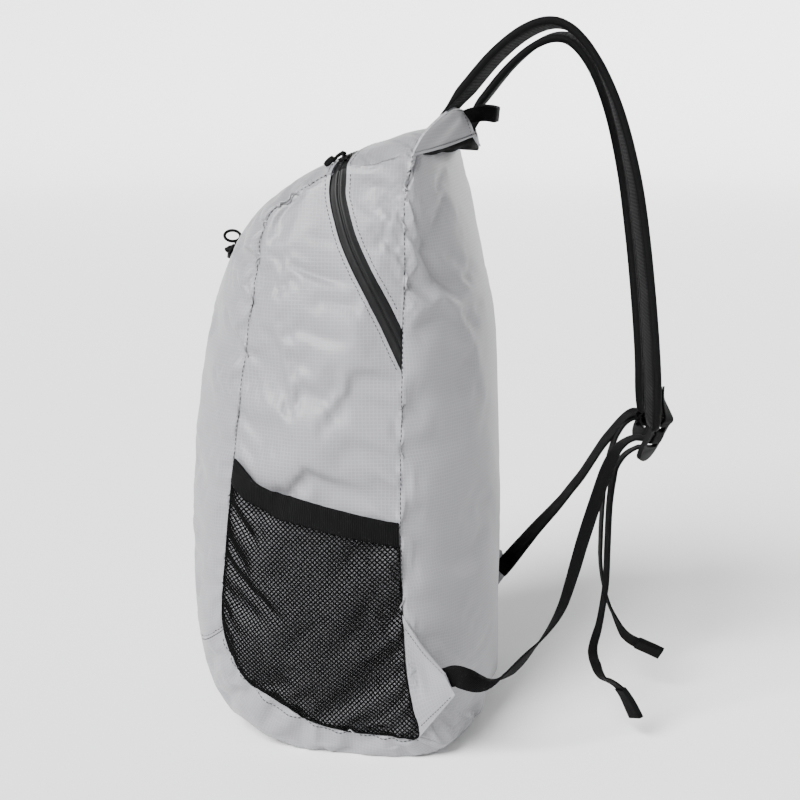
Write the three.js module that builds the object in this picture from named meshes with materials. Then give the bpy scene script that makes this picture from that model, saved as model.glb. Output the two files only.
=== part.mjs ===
// Packable backpack, stuffed full and standing on its base. Millimetres, +Z up.
// +X is the wearer's right, +Y the wearer's back, and the origin lies on the floor under the body.
import * as THREE from 'three';

// Driving sizes of the body
const bodyHeight = 430;
const bodyDepth = 220;
const seamHalfWidth = 122;
const sideBulge = 7;
const sideFullness = 2.2;
const crownFullness = 0.55;
const bodyCentreY = -35;
const clothWall = 1.5;
const seamGap = 0.3;

// Driving sizes of the zips
const zipVisible = 11.5;
const zipTapeOverlap = 5;
const zipTapeThickness = 1.2;
const zipTapeDepth = 2.4;
const zipFootInset = 2.4;
const topPanelInset = 1.8;
const tapeReach = 1.0;
const sliderLength = 12;
const sliderWidth = 8.5;
const sliderThickness = 4;
const pullCord = 2.4;
const pullLength = 12;
const frontZipWidth = 12;
const ringOuter = 14;
const ringWire = 2.2;

// Driving sizes of the mesh side pockets
const pocketBulge = 6.5;
const pocketWall = 1.2;
const bindingHeight = 17.5;
const bindingThickness = 2.4;

// Driving sizes of the shoulder straps and the yoke that carries them
const wingThickness = 2.2;
const strapSpread = 48;
const strapWidth = 52;
const strapPadThickness = 7;
const strapReach = 142;
const strapDrop = 200;
const strapRootRoll = 16;
const yokeOut = 19;
const yokeRise = 17;
const leftStrapShortfall = 9;
const edgeBindingWidth = 3.6;
const edgeBindingThickness = 8.4;
const haulWebbing = 13;
const haulThickness = 1.8;
const haulSpan = 25;
const haulReach = 27;
const liningWidth = 58;
const liningThickness = 2.2;
const liningRow = 0.62;

// Driving sizes of the adjusters and the lower webbing
const lockLength = 34;
const lockWidth = 23;
const lockThickness = 3.4;
const lockTilt = 26;
const lockTurn = 24;
const webbingWidth = 15;
const webbingThickness = 1.5;
const loopSewn = 12;
const bottomWingReach = 34;
const bottomWingFlare = 8;
const leftWingDrawn = { out: 8, up: 13 };

// Rows of the body's two loops: the seam loop along the side panel and the crown loop at mid width.
// Places are shares of bodyDepth and bodyHeight, half is a share of seamHalfWidth,
// and square is how squarely the strip between the side seams turns at them.
const loopColumns = ['seamY', 'seamZ', 'crownY', 'crownZ', 'half', 'square'];
const loopRows = [
  [0.176, 0.047, 0.300, 0.014, 0.967, 4.0],
  [0.091, 0.045, 0.100, -0.019, 0.967, 8.0],
  [-0.109, 0.051, -0.118, -0.019, 0.967, 8.0],
  [-0.236, 0.077, -0.291, -0.014, 0.967, 7.0],
  [-0.377, 0.126, -0.509, 0.042, 0.951, 4.0],
  [-0.459, 0.205, -0.606, 0.151, 0.926, 2.8],
  [-0.445, 0.337, -0.640, 0.326, 0.926, 2.3],
  [-0.409, 0.500, -0.631, 0.495, 0.934, 2.2],
  [-0.373, 0.653, -0.591, 0.651, 0.902, 2.2],
  [-0.341, 0.779, -0.523, 0.777, 0.869, 2.2],
  [-0.314, 0.870, -0.432, 0.853, 0.844, 2.2],
  [-0.241, 0.909, -0.270, 0.925, 0.828, 2.2],
  [-0.086, 0.951, -0.088, 0.973, 0.820, 2.4],
  [0.018, 0.960, 0.000, 0.984, 0.811, 2.6],
  [0.126, 0.970, 0.136, 1.000, 0.770, 2.6],
  [0.114, 0.907, 0.212, 0.924, 0.836, 2.6],
  [0.118, 0.791, 0.275, 0.786, 0.885, 2.4],
  [0.118, 0.663, 0.320, 0.663, 0.934, 2.3],
  [0.114, 0.419, 0.334, 0.419, 0.984, 2.3],
  [0.132, 0.191, 0.336, 0.181, 1.000, 2.5],
  [0.155, 0.105, 0.332, 0.081, 0.992, 3.0],
];
const row = { baseBack: 0, frontLow: 5, zip: 12, topMid: 13, topBack: 14, zipFoot: 17, backLow: 19, end: 21 };

// The main zip's middle line on a side panel, from the top down to the back seam.
const zipRows = [
  [-0.086, 0.951],
  [-0.086, 0.914],
  [-0.071, 0.884],
  [-0.047, 0.847],
  [-0.005, 0.802],
  [0.043, 0.757],
  [0.088, 0.710],
  [0.132, 0.660],
];
const zipFootSpread = { front: 17.14, back: 16.62 };

// Main folds of the cloth: where they start on the loop, on which side of it they lie
// (share of half the strip, + is the wearer's right), how deep and wide they are, in millimetres.
const foldColumns = ['row', 'side', 'depth', 'width', 'reach'];
const foldRows = [
  [9.72, 1, -3.2, 7, 0.34],
  [9.30, 1, 2.2, 8, 0.40],
  [8.80, 1, -2.4, 8, 0.30],
  [8.20, 1, -3.0, 8, 0.38],
  [7.75, 1, -3.4, 9, 0.42],
  [7.30, 1, -2.6, 8, 0.34],
  [9.50, -1, -3.0, 8, 0.36],
  [8.60, -1, -2.8, 9, 0.40],
  [7.90, -1, -3.2, 9, 0.38],
  [6.60, -1, -2.6, 8, 0.34],
  [14.75, 1, -4.0, 9, 0.60],
  [15.35, 1, 3.0, 10, 0.55],
  [15.80, 1, -3.2, 10, 0.50],
  [14.85, -1, -3.6, 9, 0.60],
  [15.60, -1, -3.0, 10, 0.50],
  [17.60, 1, -2.4, 12, 0.30],
  [18.50, -1, -2.4, 12, 0.30],
];

// The strap's middle line from its root: out from the pack as shares of strapReach,
// up or down as shares of strapDrop, and the roll left in it as a share of strapRootRoll.
const strapRows = [
  [0.000, 0.000, 1.00],
  [0.092, 0.082, 1.00],
  [0.218, 0.184, 0.95],
  [0.352, 0.260, 0.85],
  [0.479, 0.291, 0.75],
  [0.585, 0.265, 0.65],
  [0.697, 0.168, 0.50],
  [0.796, 0.010, 0.35],
  [0.873, -0.194, 0.20],
  [0.923, -0.403, 0.10],
  [0.965, -0.643, 0.00],
  [0.993, -0.858, 0.00],
  [1.000, -1.000, 0.00],
];

// Lower webbing between the adjuster and the bottom wing: share of the way, sag as a share of the
// webbing's span, and how far it has turned from lying across the pack to lying along the wing.
const webbingSides = {
  right: [[0.10, 0.010, 0.00], [0.28, 0.045, 0.10], [0.48, 0.020, 0.35], [0.68, -0.005, 0.65], [0.86, 0.020, 0.90]],
  left: [[0.12, 0.020, 0.00], [0.32, 0.035, 0.10], [0.52, 0.030, 0.35], [0.72, 0.020, 0.65], [0.88, 0.010, 0.90]],
};

// The front pocket's zip: the loop row and the share across of its ends, and of its own half width.
const frontZip = {
  from: { place: 9.28, across: 0.16 },
  to: { place: 7.75, across: -0.42 },
  slant: { place: frontZipWidth * 0.0055, across: frontZipWidth * 0.0035 },
};
const frontSliderShare = 0.06;
const mainSliderAcross = 0.54;

// Free webbing tails below the adjusters: out and down from the adjuster as shares of tailDrop.
const tailDrop = 200;
const tailSides = {
  right: [[-0.030, 0.085], [-0.085, 0.165], [-0.112, 0.260], [-0.120, 0.400], [-0.118, 0.540], [-0.140, 0.680],
    [-0.158, 0.800], [-0.130, 0.880], [-0.065, 0.945], [-0.018, 0.998]],
  left: [[-0.030, 0.085], [-0.105, 0.165], [-0.150, 0.270], [-0.172, 0.400], [-0.176, 0.560], [-0.160, 0.730],
    [-0.118, 0.800], [-0.070, 0.875], [-0.010, 0.925], [0.060, 0.960]],
};

// Colours
const finishes = {
  cloth: { color: '#b6b6ba', roughness: 0.62, metalness: 0 },
  zip: { color: '#2c2c2e', roughness: 0.5, metalness: 0 },
  net: { color: '#141415', roughness: 0.85, metalness: 0 },
  elastic: { color: '#19191a', roughness: 0.8, metalness: 0 },
  spacer: { color: '#202021', roughness: 0.95, metalness: 0 },
  webbing: { color: '#161617', roughness: 0.8, metalness: 0 },
  acetal: { color: '#242425', roughness: 0.45, metalness: 0 },
  cord: { color: '#121213', roughness: 0.7, metalness: 0 },
};

// Steps of the cloth grids: across the strip between the side seams, and on each side beside it
const acrossSteps = 12;
const topSideSteps = 7;
const tapeSideSteps = 10;

const pack = new THREE.Group();
const sides = { right: 1, left: -1 };
const sideAxis = new THREE.Vector3(1, 0, 0);

function addMesh(name, geometry, finish) {
  const mesh = new THREE.Mesh(geometry, new THREE.MeshStandardMaterial(finishes[finish]));
  mesh.name = name;
  pack.add(mesh);
  return mesh;
}

function mix(a, b, share) {
  return a + (b - a) * share;
}

function smoothStep(low, high, value) {
  const share = Math.min(1, Math.max(0, (value - low) / (high - low)));
  return share * share * (3 - 2 * share);
}

// Closed meshes

function closedGeometry(points, faces) {
  let volume = 0;
  for (const [a, b, c] of faces) {
    volume += points[a].dot(new THREE.Vector3().crossVectors(points[b], points[c]));
  }
  const index = faces.flatMap(([a, b, c]) => (volume < 0 ? [a, c, b] : [a, b, c]));
  const geometry = new THREE.BufferGeometry();
  geometry.setFromPoints(points);
  geometry.setIndex(index);
  geometry.computeVertexNormals();
  return geometry;
}

// A wall between two grids of points, closed all round its rim.
function wallBetween(outer, inner) {
  const rows = outer.length;
  const columns = outer[0].length;
  const points = [...outer.flat(), ...inner.flat()];
  const under = rows * columns;
  const faces = [];
  for (let i = 0; i < rows - 1; i += 1) {
    for (let j = 0; j < columns - 1; j += 1) {
      const a = i * columns + j;
      const b = a + 1;
      const c = a + columns;
      const d = c + 1;
      faces.push([a, c, b], [b, c, d]);
      faces.push([a + under, b + under, c + under], [b + under, d + under, c + under]);
    }
  }
  const rim = [];
  for (let j = 0; j < columns - 1; j += 1) rim.push(j);
  for (let i = 0; i < rows - 1; i += 1) rim.push(i * columns + columns - 1);
  for (let j = columns - 1; j > 0; j -= 1) rim.push((rows - 1) * columns + j);
  for (let i = rows - 1; i > 0; i -= 1) rim.push(i * columns);
  rim.forEach((a, k) => {
    const b = rim[(k + 1) % rim.length];
    faces.push([a, b, a + under], [b, b + under, a + under]);
  });
  return closedGeometry(points, faces);
}

// The unit normal of a surface of two shares, turned to point away from a place inside.
function surfaceNormal(surface, u, v, inside) {
  const step = 0.004;
  const u0 = Math.max(0, u - step);
  const u1 = Math.min(1, u + step);
  const v0 = Math.max(0, v - step);
  const v1 = Math.min(1, v + step);
  const alongU = surface(u1, v).sub(surface(u0, v));
  const alongV = surface(u, v1).sub(surface(u, v0));
  const normal = alongU.cross(alongV).normalize();
  const outward = surface(u, v).sub(inside);
  return normal.dot(outward) < 0 ? normal.negate() : normal;
}

const bodyCentre = new THREE.Vector3(0, bodyCentreY, bodyHeight * 0.47);

// A cloth sheet on a surface of two shares, from one distance above it to another.
function sheet(surface, countU, countV, above, below, inside = bodyCentre) {
  const outer = [];
  const inner = [];
  for (let i = 0; i <= countU; i += 1) {
    outer.push([]);
    inner.push([]);
    for (let j = 0; j <= countV; j += 1) {
      const u = i / countU;
      const v = j / countV;
      const place = surface(u, v);
      const normal = surfaceNormal(surface, u, v, inside);
      const high = typeof above === 'function' ? above(u, v) : above;
      const low = typeof below === 'function' ? below(u, v) : below;
      outer[i].push(place.clone().addScaledVector(normal, high));
      inner[i].push(place.clone().addScaledVector(normal, low));
    }
  }
  return wallBetween(outer, inner);
}

// A body through rings of points, with both ends closed, or joined to itself.
function loft(rings, joined = false) {
  const size = rings[0].length;
  const points = rings.flat();
  const faces = [];
  const last = joined ? rings.length : rings.length - 1;
  for (let i = 0; i < last; i += 1) {
    const next = ((i + 1) % rings.length) * size;
    for (let j = 0; j < size; j += 1) {
      const k = (j + 1) % size;
      faces.push([i * size + j, next + j, i * size + k], [i * size + k, next + j, next + k]);
    }
  }
  if (!joined) {
    const end = (rings.length - 1) * size;
    for (let j = 1; j < size - 1; j += 1) {
      faces.push([0, j, j + 1], [end, end + j + 1, end + j]);
    }
  }
  return closedGeometry(points, faces);
}

// A frame on a curve: its place, and the directions of its tangent, width and thickness.
function frameAt(place, tangent, hint) {
  const width = hint.clone().addScaledVector(tangent, -hint.dot(tangent)).normalize();
  return { place, tangent, width, thick: new THREE.Vector3().crossVectors(tangent, width) };
}

function framePoint(frame, across, up) {
  return frame.place.clone().addScaledVector(frame.width, across).addScaledVector(frame.thick, up);
}

// A flat band through stops, each with a place and the direction that the band's width lies along.
function ribbonThrough(stops, perSpan, width, thickness) {
  const curve = new THREE.CatmullRomCurve3(stops.map((stop) => stop.at), false, 'centripetal');
  const spans = stops.length - 1;
  const half = width / 2;
  const up = thickness / 2;
  const rings = [];
  for (let k = 0; k <= spans * perSpan; k += 1) {
    const share = k / (spans * perSpan);
    const low = Math.min(spans - 1, Math.floor(share * spans));
    const hint = stops[low].width.clone().lerp(stops[low + 1].width, share * spans - low);
    const frame = frameAt(curve.getPoint(share), curve.getTangent(share), hint);
    rings.push([[-half, -up], [half, -up], [half, up], [-half, up]].map(([a, b]) => framePoint(frame, a, b)));
  }
  return loft(rings);
}

function roundRing(frame, radius, count) {
  const ring = [];
  for (let k = 0; k < count; k += 1) {
    const angle = (2 * Math.PI * k) / count;
    ring.push(framePoint(frame, radius * Math.cos(angle), radius * Math.sin(angle)));
  }
  return ring;
}

// The body's surfaces

function loopAt(place) {
  const total = loopRows.length;
  const start = Math.floor(place);
  const f = place - start;
  const near = [-1, 0, 1, 2].map((k) => loopRows[(start + k + total) % total]);
  const values = {};
  loopColumns.forEach((name, k) => {
    const [a, b, c, d] = near.map((entry) => entry[k]);
    const bend = (2 * a - 5 * b + 4 * c - d) * f * f + (-a + 3 * b - 3 * c + d) * f * f * f;
    values[name] = 0.5 * (2 * b + (c - a) * f + bend);
  });
  return {
    seam: new THREE.Vector2(values.seamY * bodyDepth, values.seamZ * bodyHeight),
    crown: new THREE.Vector2(values.crownY * bodyDepth, values.crownZ * bodyHeight),
    half: values.half * seamHalfWidth,
    square: values.square,
  };
}

function loopLength(from, to) {
  return loopAt(from).seam.distanceTo(loopAt(to).seam);
}

// Depth of the folds at a place on the strip between the side seams.
function foldAt(place, across) {
  let depth = 0;
  for (const entry of foldRows) {
    const fold = Object.fromEntries(foldColumns.map((name, k) => [name, entry[k]]));
    const along = (place - fold.row) * loopLength(Math.floor(fold.row), Math.floor(fold.row) + 1);
    const fromSeam = 1 - across * fold.side;
    const slant = along - fromSeam * fold.width;
    const fade = smoothStep(0, 0.3, fromSeam) * (1 - smoothStep(fold.reach * 0.4, fold.reach * 1.6, fromSeam));
    depth += fold.depth * fade * Math.exp(-((slant / fold.width) ** 2));
  }
  return depth;
}

// A place on the strip that runs round the body between the side seams: across is -1 to 1.
function stripPoint(place, across) {
  const { seam, crown, half, square } = loopAt(place);
  const outwards = crown.clone().sub(seam);
  const depth = outwards.length();
  const edge = Math.acos((seamGap / depth) ** (1 / (2 * crownFullness)));
  const angle = across * edge;
  const sine = Math.sin(angle);
  const x = half * Math.sign(sine) * Math.abs(sine) ** (2 / square);
  const rise = Math.cos(angle) ** (2 * crownFullness) + foldAt(place, across) / depth;
  const y = seam.x + outwards.x * rise;
  const z = Math.max(0, seam.y + outwards.y * rise);
  return new THREE.Vector3(x, y, z);
}

// The seam loop by angle round the body's centre, for the side panels.
const loopSamples = 480;
const seamByAngle = [];
for (let k = 0; k < loopSamples; k += 1) {
  const at = loopAt((k * loopRows.length) / loopSamples);
  const dy = at.seam.x - bodyCentre.y;
  const dz = at.seam.y - bodyCentre.z;
  seamByAngle.push({ angle: Math.atan2(dz, dy), radius: Math.hypot(dy, dz), half: at.half });
}
seamByAngle.sort((a, b) => a.angle - b.angle);

function seamAtAngle(angle) {
  const total = seamByAngle.length;
  let high = seamByAngle.findIndex((entry) => entry.angle > angle);
  if (high < 0) high = 0;
  const next = seamByAngle[high];
  const last = seamByAngle[(high + total - 1) % total];
  const turn = 2 * Math.PI;
  const span = (next.angle - last.angle + turn) % turn;
  const share = ((angle - last.angle + turn) % turn) / span;
  return { radius: mix(last.radius, next.radius, share), half: mix(last.half, next.half, share) };
}

const sideCrown = seamHalfWidth + sideBulge;

// A place on a side panel, over the point (y, z) of the side view.
function sidePoint(y, z, side, proud = 0) {
  const dy = y - bodyCentre.y;
  const dz = z - bodyCentre.z;
  const { radius, half } = seamAtAngle(Math.atan2(dz, dy));
  const share = Math.min(1, Math.hypot(dy, dz) / radius);
  const x = sideCrown - (sideCrown - half) * share ** sideFullness + proud;
  return new THREE.Vector3(side * x, y, z);
}

// Outlines in the side view

// A place in the side view moved towards the body's centre.
function insetAt(at, distance) {
  const inwards = new THREE.Vector2(bodyCentre.y - at.y, bodyCentre.z - at.z).setLength(distance);
  return new THREE.Vector3(0, at.y + inwards.x, at.z + inwards.y);
}

function seamLine(from, to) {
  const count = Math.max(4, Math.ceil(Math.abs(to - from) * 4));
  const points = [];
  for (let k = 0; k <= count; k += 1) {
    const { seam } = loopAt(mix(from, to, k / count));
    points.push(new THREE.Vector3(0, seam.x, seam.y));
  }
  return points;
}

function polyline(points) {
  const lengths = [0];
  for (let k = 1; k < points.length; k += 1) {
    lengths.push(lengths[k - 1] + points[k].distanceTo(points[k - 1]));
  }
  const total = lengths[lengths.length - 1];
  return (share) => {
    const wanted = Math.min(1, Math.max(0, share)) * total;
    let k = 1;
    while (k < points.length - 1 && lengths[k] < wanted) k += 1;
    return points[k - 1].clone().lerp(points[k], (wanted - lengths[k - 1]) / (lengths[k] - lengths[k - 1]));
  };
}

const zipHalf = zipVisible / 2;
const zipMiddle = new THREE.CatmullRomCurve3(
  zipRows.map(([y, z]) => new THREE.Vector3(0, y * bodyDepth, z * bodyHeight)),
);

// A place beside the zip's middle line: share runs from the top to the foot, offset towards the back.
function besideZip(share, offset) {
  const place = zipMiddle.getPointAt(share);
  const tangent = zipMiddle.getTangentAt(share);
  return new THREE.Vector3(0, place.y - tangent.z * offset, place.z + tangent.y * offset);
}

const zipRow = {
  front: row.zip - zipHalf / loopLength(row.zip - 1, row.zip),
  back: row.zip + zipHalf / loopLength(row.zip, row.topMid),
};

function zipEdge(which) {
  const offset = which === 'front' ? -zipHalf : zipHalf;
  const top = loopAt(zipRow[which]).seam;
  const foot = loopAt(zipFootSpread[which]).seam;
  const points = [new THREE.Vector3(0, top.x, top.y)];
  const stations = which === 'front' ? [0.10, 0.22, 0.36, 0.50, 0.64, 0.78] : [0.10, 0.22, 0.36, 0.50, 0.64];
  for (const share of stations) points.push(besideZip(share, offset));
  points.push(new THREE.Vector3(0, foot.x - seamGap, foot.y));
  return new THREE.CatmullRomCurve3(points).getSpacedPoints(24);
}

// A four-sided patch of the side view, from its left, right, lower and upper lines.
function patchBetween(left, right, lower, upper) {
  return (u, v) => {
    const sidesMix = left(v).lerp(right(v), u);
    const endsMix = lower(u).lerp(upper(u), v);
    const low = left(0).lerp(right(0), u);
    const high = left(1).lerp(right(1), u);
    return sidesMix.add(endsMix).sub(low.lerp(high, v));
  };
}

const rowNudge = seamGap / 2 / loopLength(row.zip, row.topMid);

function sidePanelOutline() {
  const frontSeam = polyline(seamLine(row.frontLow - 1, zipRow.front - rowNudge * 3));
  const backSeam = seamLine(row.end, zipFootSpread.front);
  const backEdge = polyline([...backSeam.slice(0, -1), ...zipEdge('front').reverse()]);
  const lower = polyline(seamLine(row.frontLow - 1, row.baseBack));
  const upper = polyline([frontSeam(1), backEdge(1)]);
  return patchBetween(frontSeam, backEdge, lower, upper);
}

function makeSidePanels() {
  const outline = sidePanelOutline();
  for (const [name, side] of Object.entries(sides)) {
    const surface = (u, v) => {
      const at = insetAt(outline(u, v), seamGap);
      return sidePoint(at.y, at.z, side);
    };
    addMesh(`side_panel_${name}`, sheet(surface, 8, 20, 0, -clothWall), 'cloth');
  }
}

function stripPanel(from, to) {
  return (u, v) => stripPoint(mix(from, to, u), mix(-1, 1, v));
}

function makeStripPanels() {
  addMesh('front_panel', sheet(stripPanel(row.frontLow + rowNudge, zipRow.front), 30, acrossSteps, 0, -clothWall), 'cloth');
  addMesh('back_panel', sheet(stripPanel(row.topBack + 4 * rowNudge, row.end - rowNudge), 22, acrossSteps, 0, -clothWall), 'cloth');
  addMesh('base_panel', sheet(stripPanel(row.baseBack + rowNudge, row.frontLow - rowNudge), 10, acrossSteps, 0, -clothWall), 'cloth');
}

// The top panel runs from the zip's foot on one side, over the top, to its foot on the other side.
function makeTopPanel() {
  const inset = new THREE.Vector3(0, -topPanelInset, 0);
  const backSeam = polyline(seamLine(zipFootSpread.back, row.topBack - rowNudge).map((at) => at.add(inset)));
  const foot = backSeam(0);
  const zipLine = zipEdge('back').reverse();
  zipLine[0] = new THREE.Vector3(0, foot.y - 2, foot.z);
  const zipSide = polyline(zipLine);
  const lower = polyline([zipSide(0), foot]);
  const upper = polyline(seamLine(zipRow.back, row.topBack - rowNudge));
  const outline = patchBetween(zipSide, backSeam, lower, upper);
  const steps = 2 * topSideSteps + acrossSteps;
  const sideShare = topSideSteps / steps;
  const surface = (u, v) => {
    if (u < sideShare || u > 1 - sideShare) {
      const side = u < sideShare ? 1 : -1;
      const at = outline(v, Math.min(u, 1 - u) / sideShare);
      return sidePoint(at.y, at.z, side);
    }
    const across = mix(1, -1, (u - sideShare) / (1 - 2 * sideShare));
    return stripPoint(mix(zipRow.back, row.topBack - rowNudge, v), across);
  };
  addMesh('top_panel', sheet(surface, steps, 4, 0, -clothWall), 'cloth');
}

// The zip's tape lies just under the edges of the panels that it joins.
function makeMainZip() {
  const halfTape = zipHalf + zipTapeOverlap;
  const steps = 2 * tapeSideSteps + acrossSteps;
  const sideShare = tapeSideSteps / steps;
  const surface = (u, v) => {
    const offset = mix(-halfTape, halfTape, v);
    if (u < sideShare || u > 1 - sideShare) {
      const side = u < sideShare ? 1 : -1;
      const at = besideZip(zipReach(offset) * (1 - Math.min(u, 1 - u) / sideShare), offset);
      return sidePoint(at.y, at.z, side);
    }
    const across = mix(1, -1, (u - sideShare) / (1 - 2 * sideShare));
    const rowsWide = offset < 0 ? loopLength(row.zip - 1, row.zip) : loopLength(row.zip, row.topMid);
    return stripPoint(row.zip + offset / rowsWide, across * tapeReach);
  };
  const top = -clothWall - zipTapeDepth;
  addMesh('main_zip_tape', sheet(surface, steps, 2, top, top - zipTapeThickness), 'zip');
}

// The share of the zip's middle line at which a line beside it comes near the back seam.
function zipReach(offset) {
  let share = 1;
  while (besideZip(share, offset).y > backSeamY(besideZip(share, offset).z) - zipFootInset) share -= 0.004;
  return share;
}

// How far back the back seam lies at a height.
function backSeamY(z) {
  let low = row.topBack;
  let high = row.end;
  for (let k = 0; k < 24; k += 1) {
    const middle = (low + high) / 2;
    if (loopAt(middle).seam.y > z) low = middle;
    else high = middle;
  }
  return loopAt(low).seam.x;
}

// Mesh side pockets with an elastic binding along the mouth

// The mouth line of a pocket in the side view, from the front seam back to the back seam.
const pocketMouth = [
  [-0.405, 0.493],
  [-0.344, 0.470],
  [-0.253, 0.449],
  [-0.161, 0.437],
  [-0.042, 0.422],
  [0.035, 0.412],
  [0.114, 0.404],
];

function pocketLine(drop) {
  const points = pocketMouth.map(([y, z]) => new THREE.Vector3(0, y * bodyDepth, z * bodyHeight - drop));
  const front = points[0];
  front.y = frontSeamY(front.z);
  return polyline(new THREE.CatmullRomCurve3(points).getSpacedPoints(16));
}

function frontSeamY(z) {
  let low = row.frontLow - 1;
  let high = zipRow.front - 1;
  for (let k = 0; k < 24; k += 1) {
    const middle = (low + high) / 2;
    if (loopAt(middle).seam.y < z) low = middle;
    else high = middle;
  }
  return loopAt(low).seam.x;
}

function seamRowAt(z, low, high) {
  const rising = loopAt(high).seam.y > loopAt(low).seam.y;
  for (let k = 0; k < 24; k += 1) {
    const middle = (low + high) / 2;
    if (loopAt(middle).seam.y < z === rising) low = middle;
    else high = middle;
  }
  return low;
}

// How far the pocket stands off the side panel: nothing at its sewn edges, most at the mouth's middle.
function pocketStandOff(across, up) {
  return pocketBulge * Math.sin(Math.PI * across) ** 0.7 * smoothStep(0, 0.75, up);
}

function makePockets() {
  const seamInset = 4 * seamGap;
  const netTop = pocketLine(bindingHeight);
  const bindingTop = pocketLine(0);
  const bindingLow = pocketLine(bindingHeight - seamGap);
  const frontTop = seamRowAt(netTop(0).z, row.frontLow - 1, zipRow.front - 1);
  const backTop = seamRowAt(netTop(1).z, row.backLow - 1.5, row.end);
  const frontSeam = polyline(seamLine(row.frontLow - 1, frontTop));
  const backSeam = polyline(seamLine(row.end, backTop));
  const lower = polyline(seamLine(row.frontLow - 1, row.baseBack));
  const outline = patchBetween(frontSeam, backSeam, lower, netTop);
  for (const [name, side] of Object.entries(sides)) {
    const place = (at, proud) => {
      const inner = insetAt(at, seamInset);
      return sidePoint(inner.y, inner.z, side, proud);
    };
    const net = (u, v) => place(outline(u, v), pocketStandOff(u, v));
    const netLow = 2 * seamGap;
    addMesh(`mesh_pocket_${name}`, sheet(net, 10, 9, netLow + pocketWall, netLow), 'net');
    const binding = (u, v) => place(bindingLow(u).lerp(bindingTop(u), v), pocketStandOff(u, 1));
    addMesh(`pocket_binding_${name}`, sheet(binding, 12, 2, netLow + bindingThickness, netLow), 'elastic');
  }
}

// Yoke wings, straps and haul loop

// Where the strap leaves its wing, and the directions that its end lies along.
function strapRoot(side) {
  const short = side < 0 ? leftStrapShortfall : 0;
  const top = loopAt(row.topBack);
  const place = new THREE.Vector3(
    side * strapSpread,
    top.crown.x + yokeOut,
    top.crown.y + yokeRise - short,
  );
  return place;
}

function strapReachOf(side) {
  return side < 0 ? strapReach - leftStrapShortfall : strapReach;
}

function strapCurve(side) {
  const root = strapRoot(side);
  const points = strapRows.map(([out, up], k) => {
    const spread = (k / (strapRows.length - 1)) * strapPadThickness;
    return new THREE.Vector3(
      root.x + side * spread,
      root.y + out * strapReachOf(side),
      root.z + up * strapDrop,
    );
  });
  return new THREE.CatmullRomCurve3(points);
}

// The strap's width direction: across the pack, with the outer edge raised near the root.
function strapWidthHint(side) {
  return (share) => {
    const at = share * (strapRows.length - 1);
    const low = Math.min(strapRows.length - 2, Math.floor(at));
    const left = mix(strapRows[low][2], strapRows[low + 1][2], at - low);
    const roll = THREE.MathUtils.degToRad(strapRootRoll) * left;
    return new THREE.Vector3(Math.cos(roll), 0, side * Math.sin(roll));
  };
}

const strapHalf = strapWidth / 2 - edgeBindingWidth - seamGap;
const strapEndTaper = 26;

function strapHalfAt(distance, length) {
  const left = Math.min(1, (length - distance) / strapEndTaper);
  return strapHalf * (0.55 + 0.45 * Math.sqrt(Math.max(0, 1 - (1 - left) ** 2)));
}

// A place in a strap's own terms: along its middle line, across it and above it.
function strapPlacer(side) {
  const curve = strapCurve(side);
  const length = curve.getLength();
  const hint = strapWidthHint(side);
  return {
    length,
    place: (along, across, up) => {
      const share = Math.min(1, Math.max(0, along / length));
      const frame = frameAt(curve.getPointAt(share), curve.getTangentAt(share), hint(share));
      return framePoint(frame, across, up).addScaledVector(frame.tangent, along - share * length);
    },
  };
}

const strapSteps = 22;

function makeStraps() {
  for (const [name, side] of Object.entries(sides)) {
    const { length, place } = strapPlacer(side);
    const rings = [];
    for (let k = 0; k <= strapSteps; k += 1) {
      const along = (length * k) / strapSteps;
      const half = strapHalfAt(along, length);
      const up = strapPadThickness / 2;
      const soft = strapPadThickness * 0.3;
      const outline = [[-half, -soft], [-half + soft, -up], [half - soft, -up], [half, -soft],
        [half, soft], [half - soft, up], [-half + soft, up], [-half, soft]];
      rings.push(outline.map(([a, b]) => place(along, a, b)));
    }
    addMesh(`strap_pad_${name}`, loft(rings), 'spacer');
    addMesh(`strap_binding_${name}`, strapBinding(length, place), 'webbing');
  }
}

// The binding tape runs down one edge of the pad, round its end and up the other edge.
function strapBinding(length, place) {
  const edge = [];
  for (let k = 0; k <= strapSteps; k += 1) {
    const along = (length * k) / strapSteps;
    edge.push(new THREE.Vector2(along, strapHalfAt(along, length)));
  }
  const corner = edge[edge.length - 1].y;
  const line = [...edge, new THREE.Vector2(length, corner * 0.5), new THREE.Vector2(length, 0),
    new THREE.Vector2(length, -corner * 0.5), ...edge.slice().reverse().map((p) => new THREE.Vector2(p.x, -p.y))];
  const half = edgeBindingThickness / 2;
  return loft(line.map((at, k) => {
    const before = line[Math.max(0, k - 1)];
    const after = line[Math.min(line.length - 1, k + 1)];
    const way = after.clone().sub(before).normalize();
    const out = new THREE.Vector2(-way.y, way.x);
    const near = 2 * seamGap;
    const ring = [[near, -half * 0.8], [edgeBindingWidth * 0.6, -half], [edgeBindingWidth, 0],
      [edgeBindingWidth * 0.6, half], [near, half * 0.8]];
    return ring.map(([away, up]) => place(at.x + out.x * away, at.y + out.y * away, up));
  }));
}

// The lines round a wing: its root on the back panel, its outer and inner edges, and the strap's end.
const wingRoot = { from: { row: row.topBack + 0.03, across: 0.97 }, to: { row: row.topBack + 0.42, across: 0.045 } };

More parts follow.
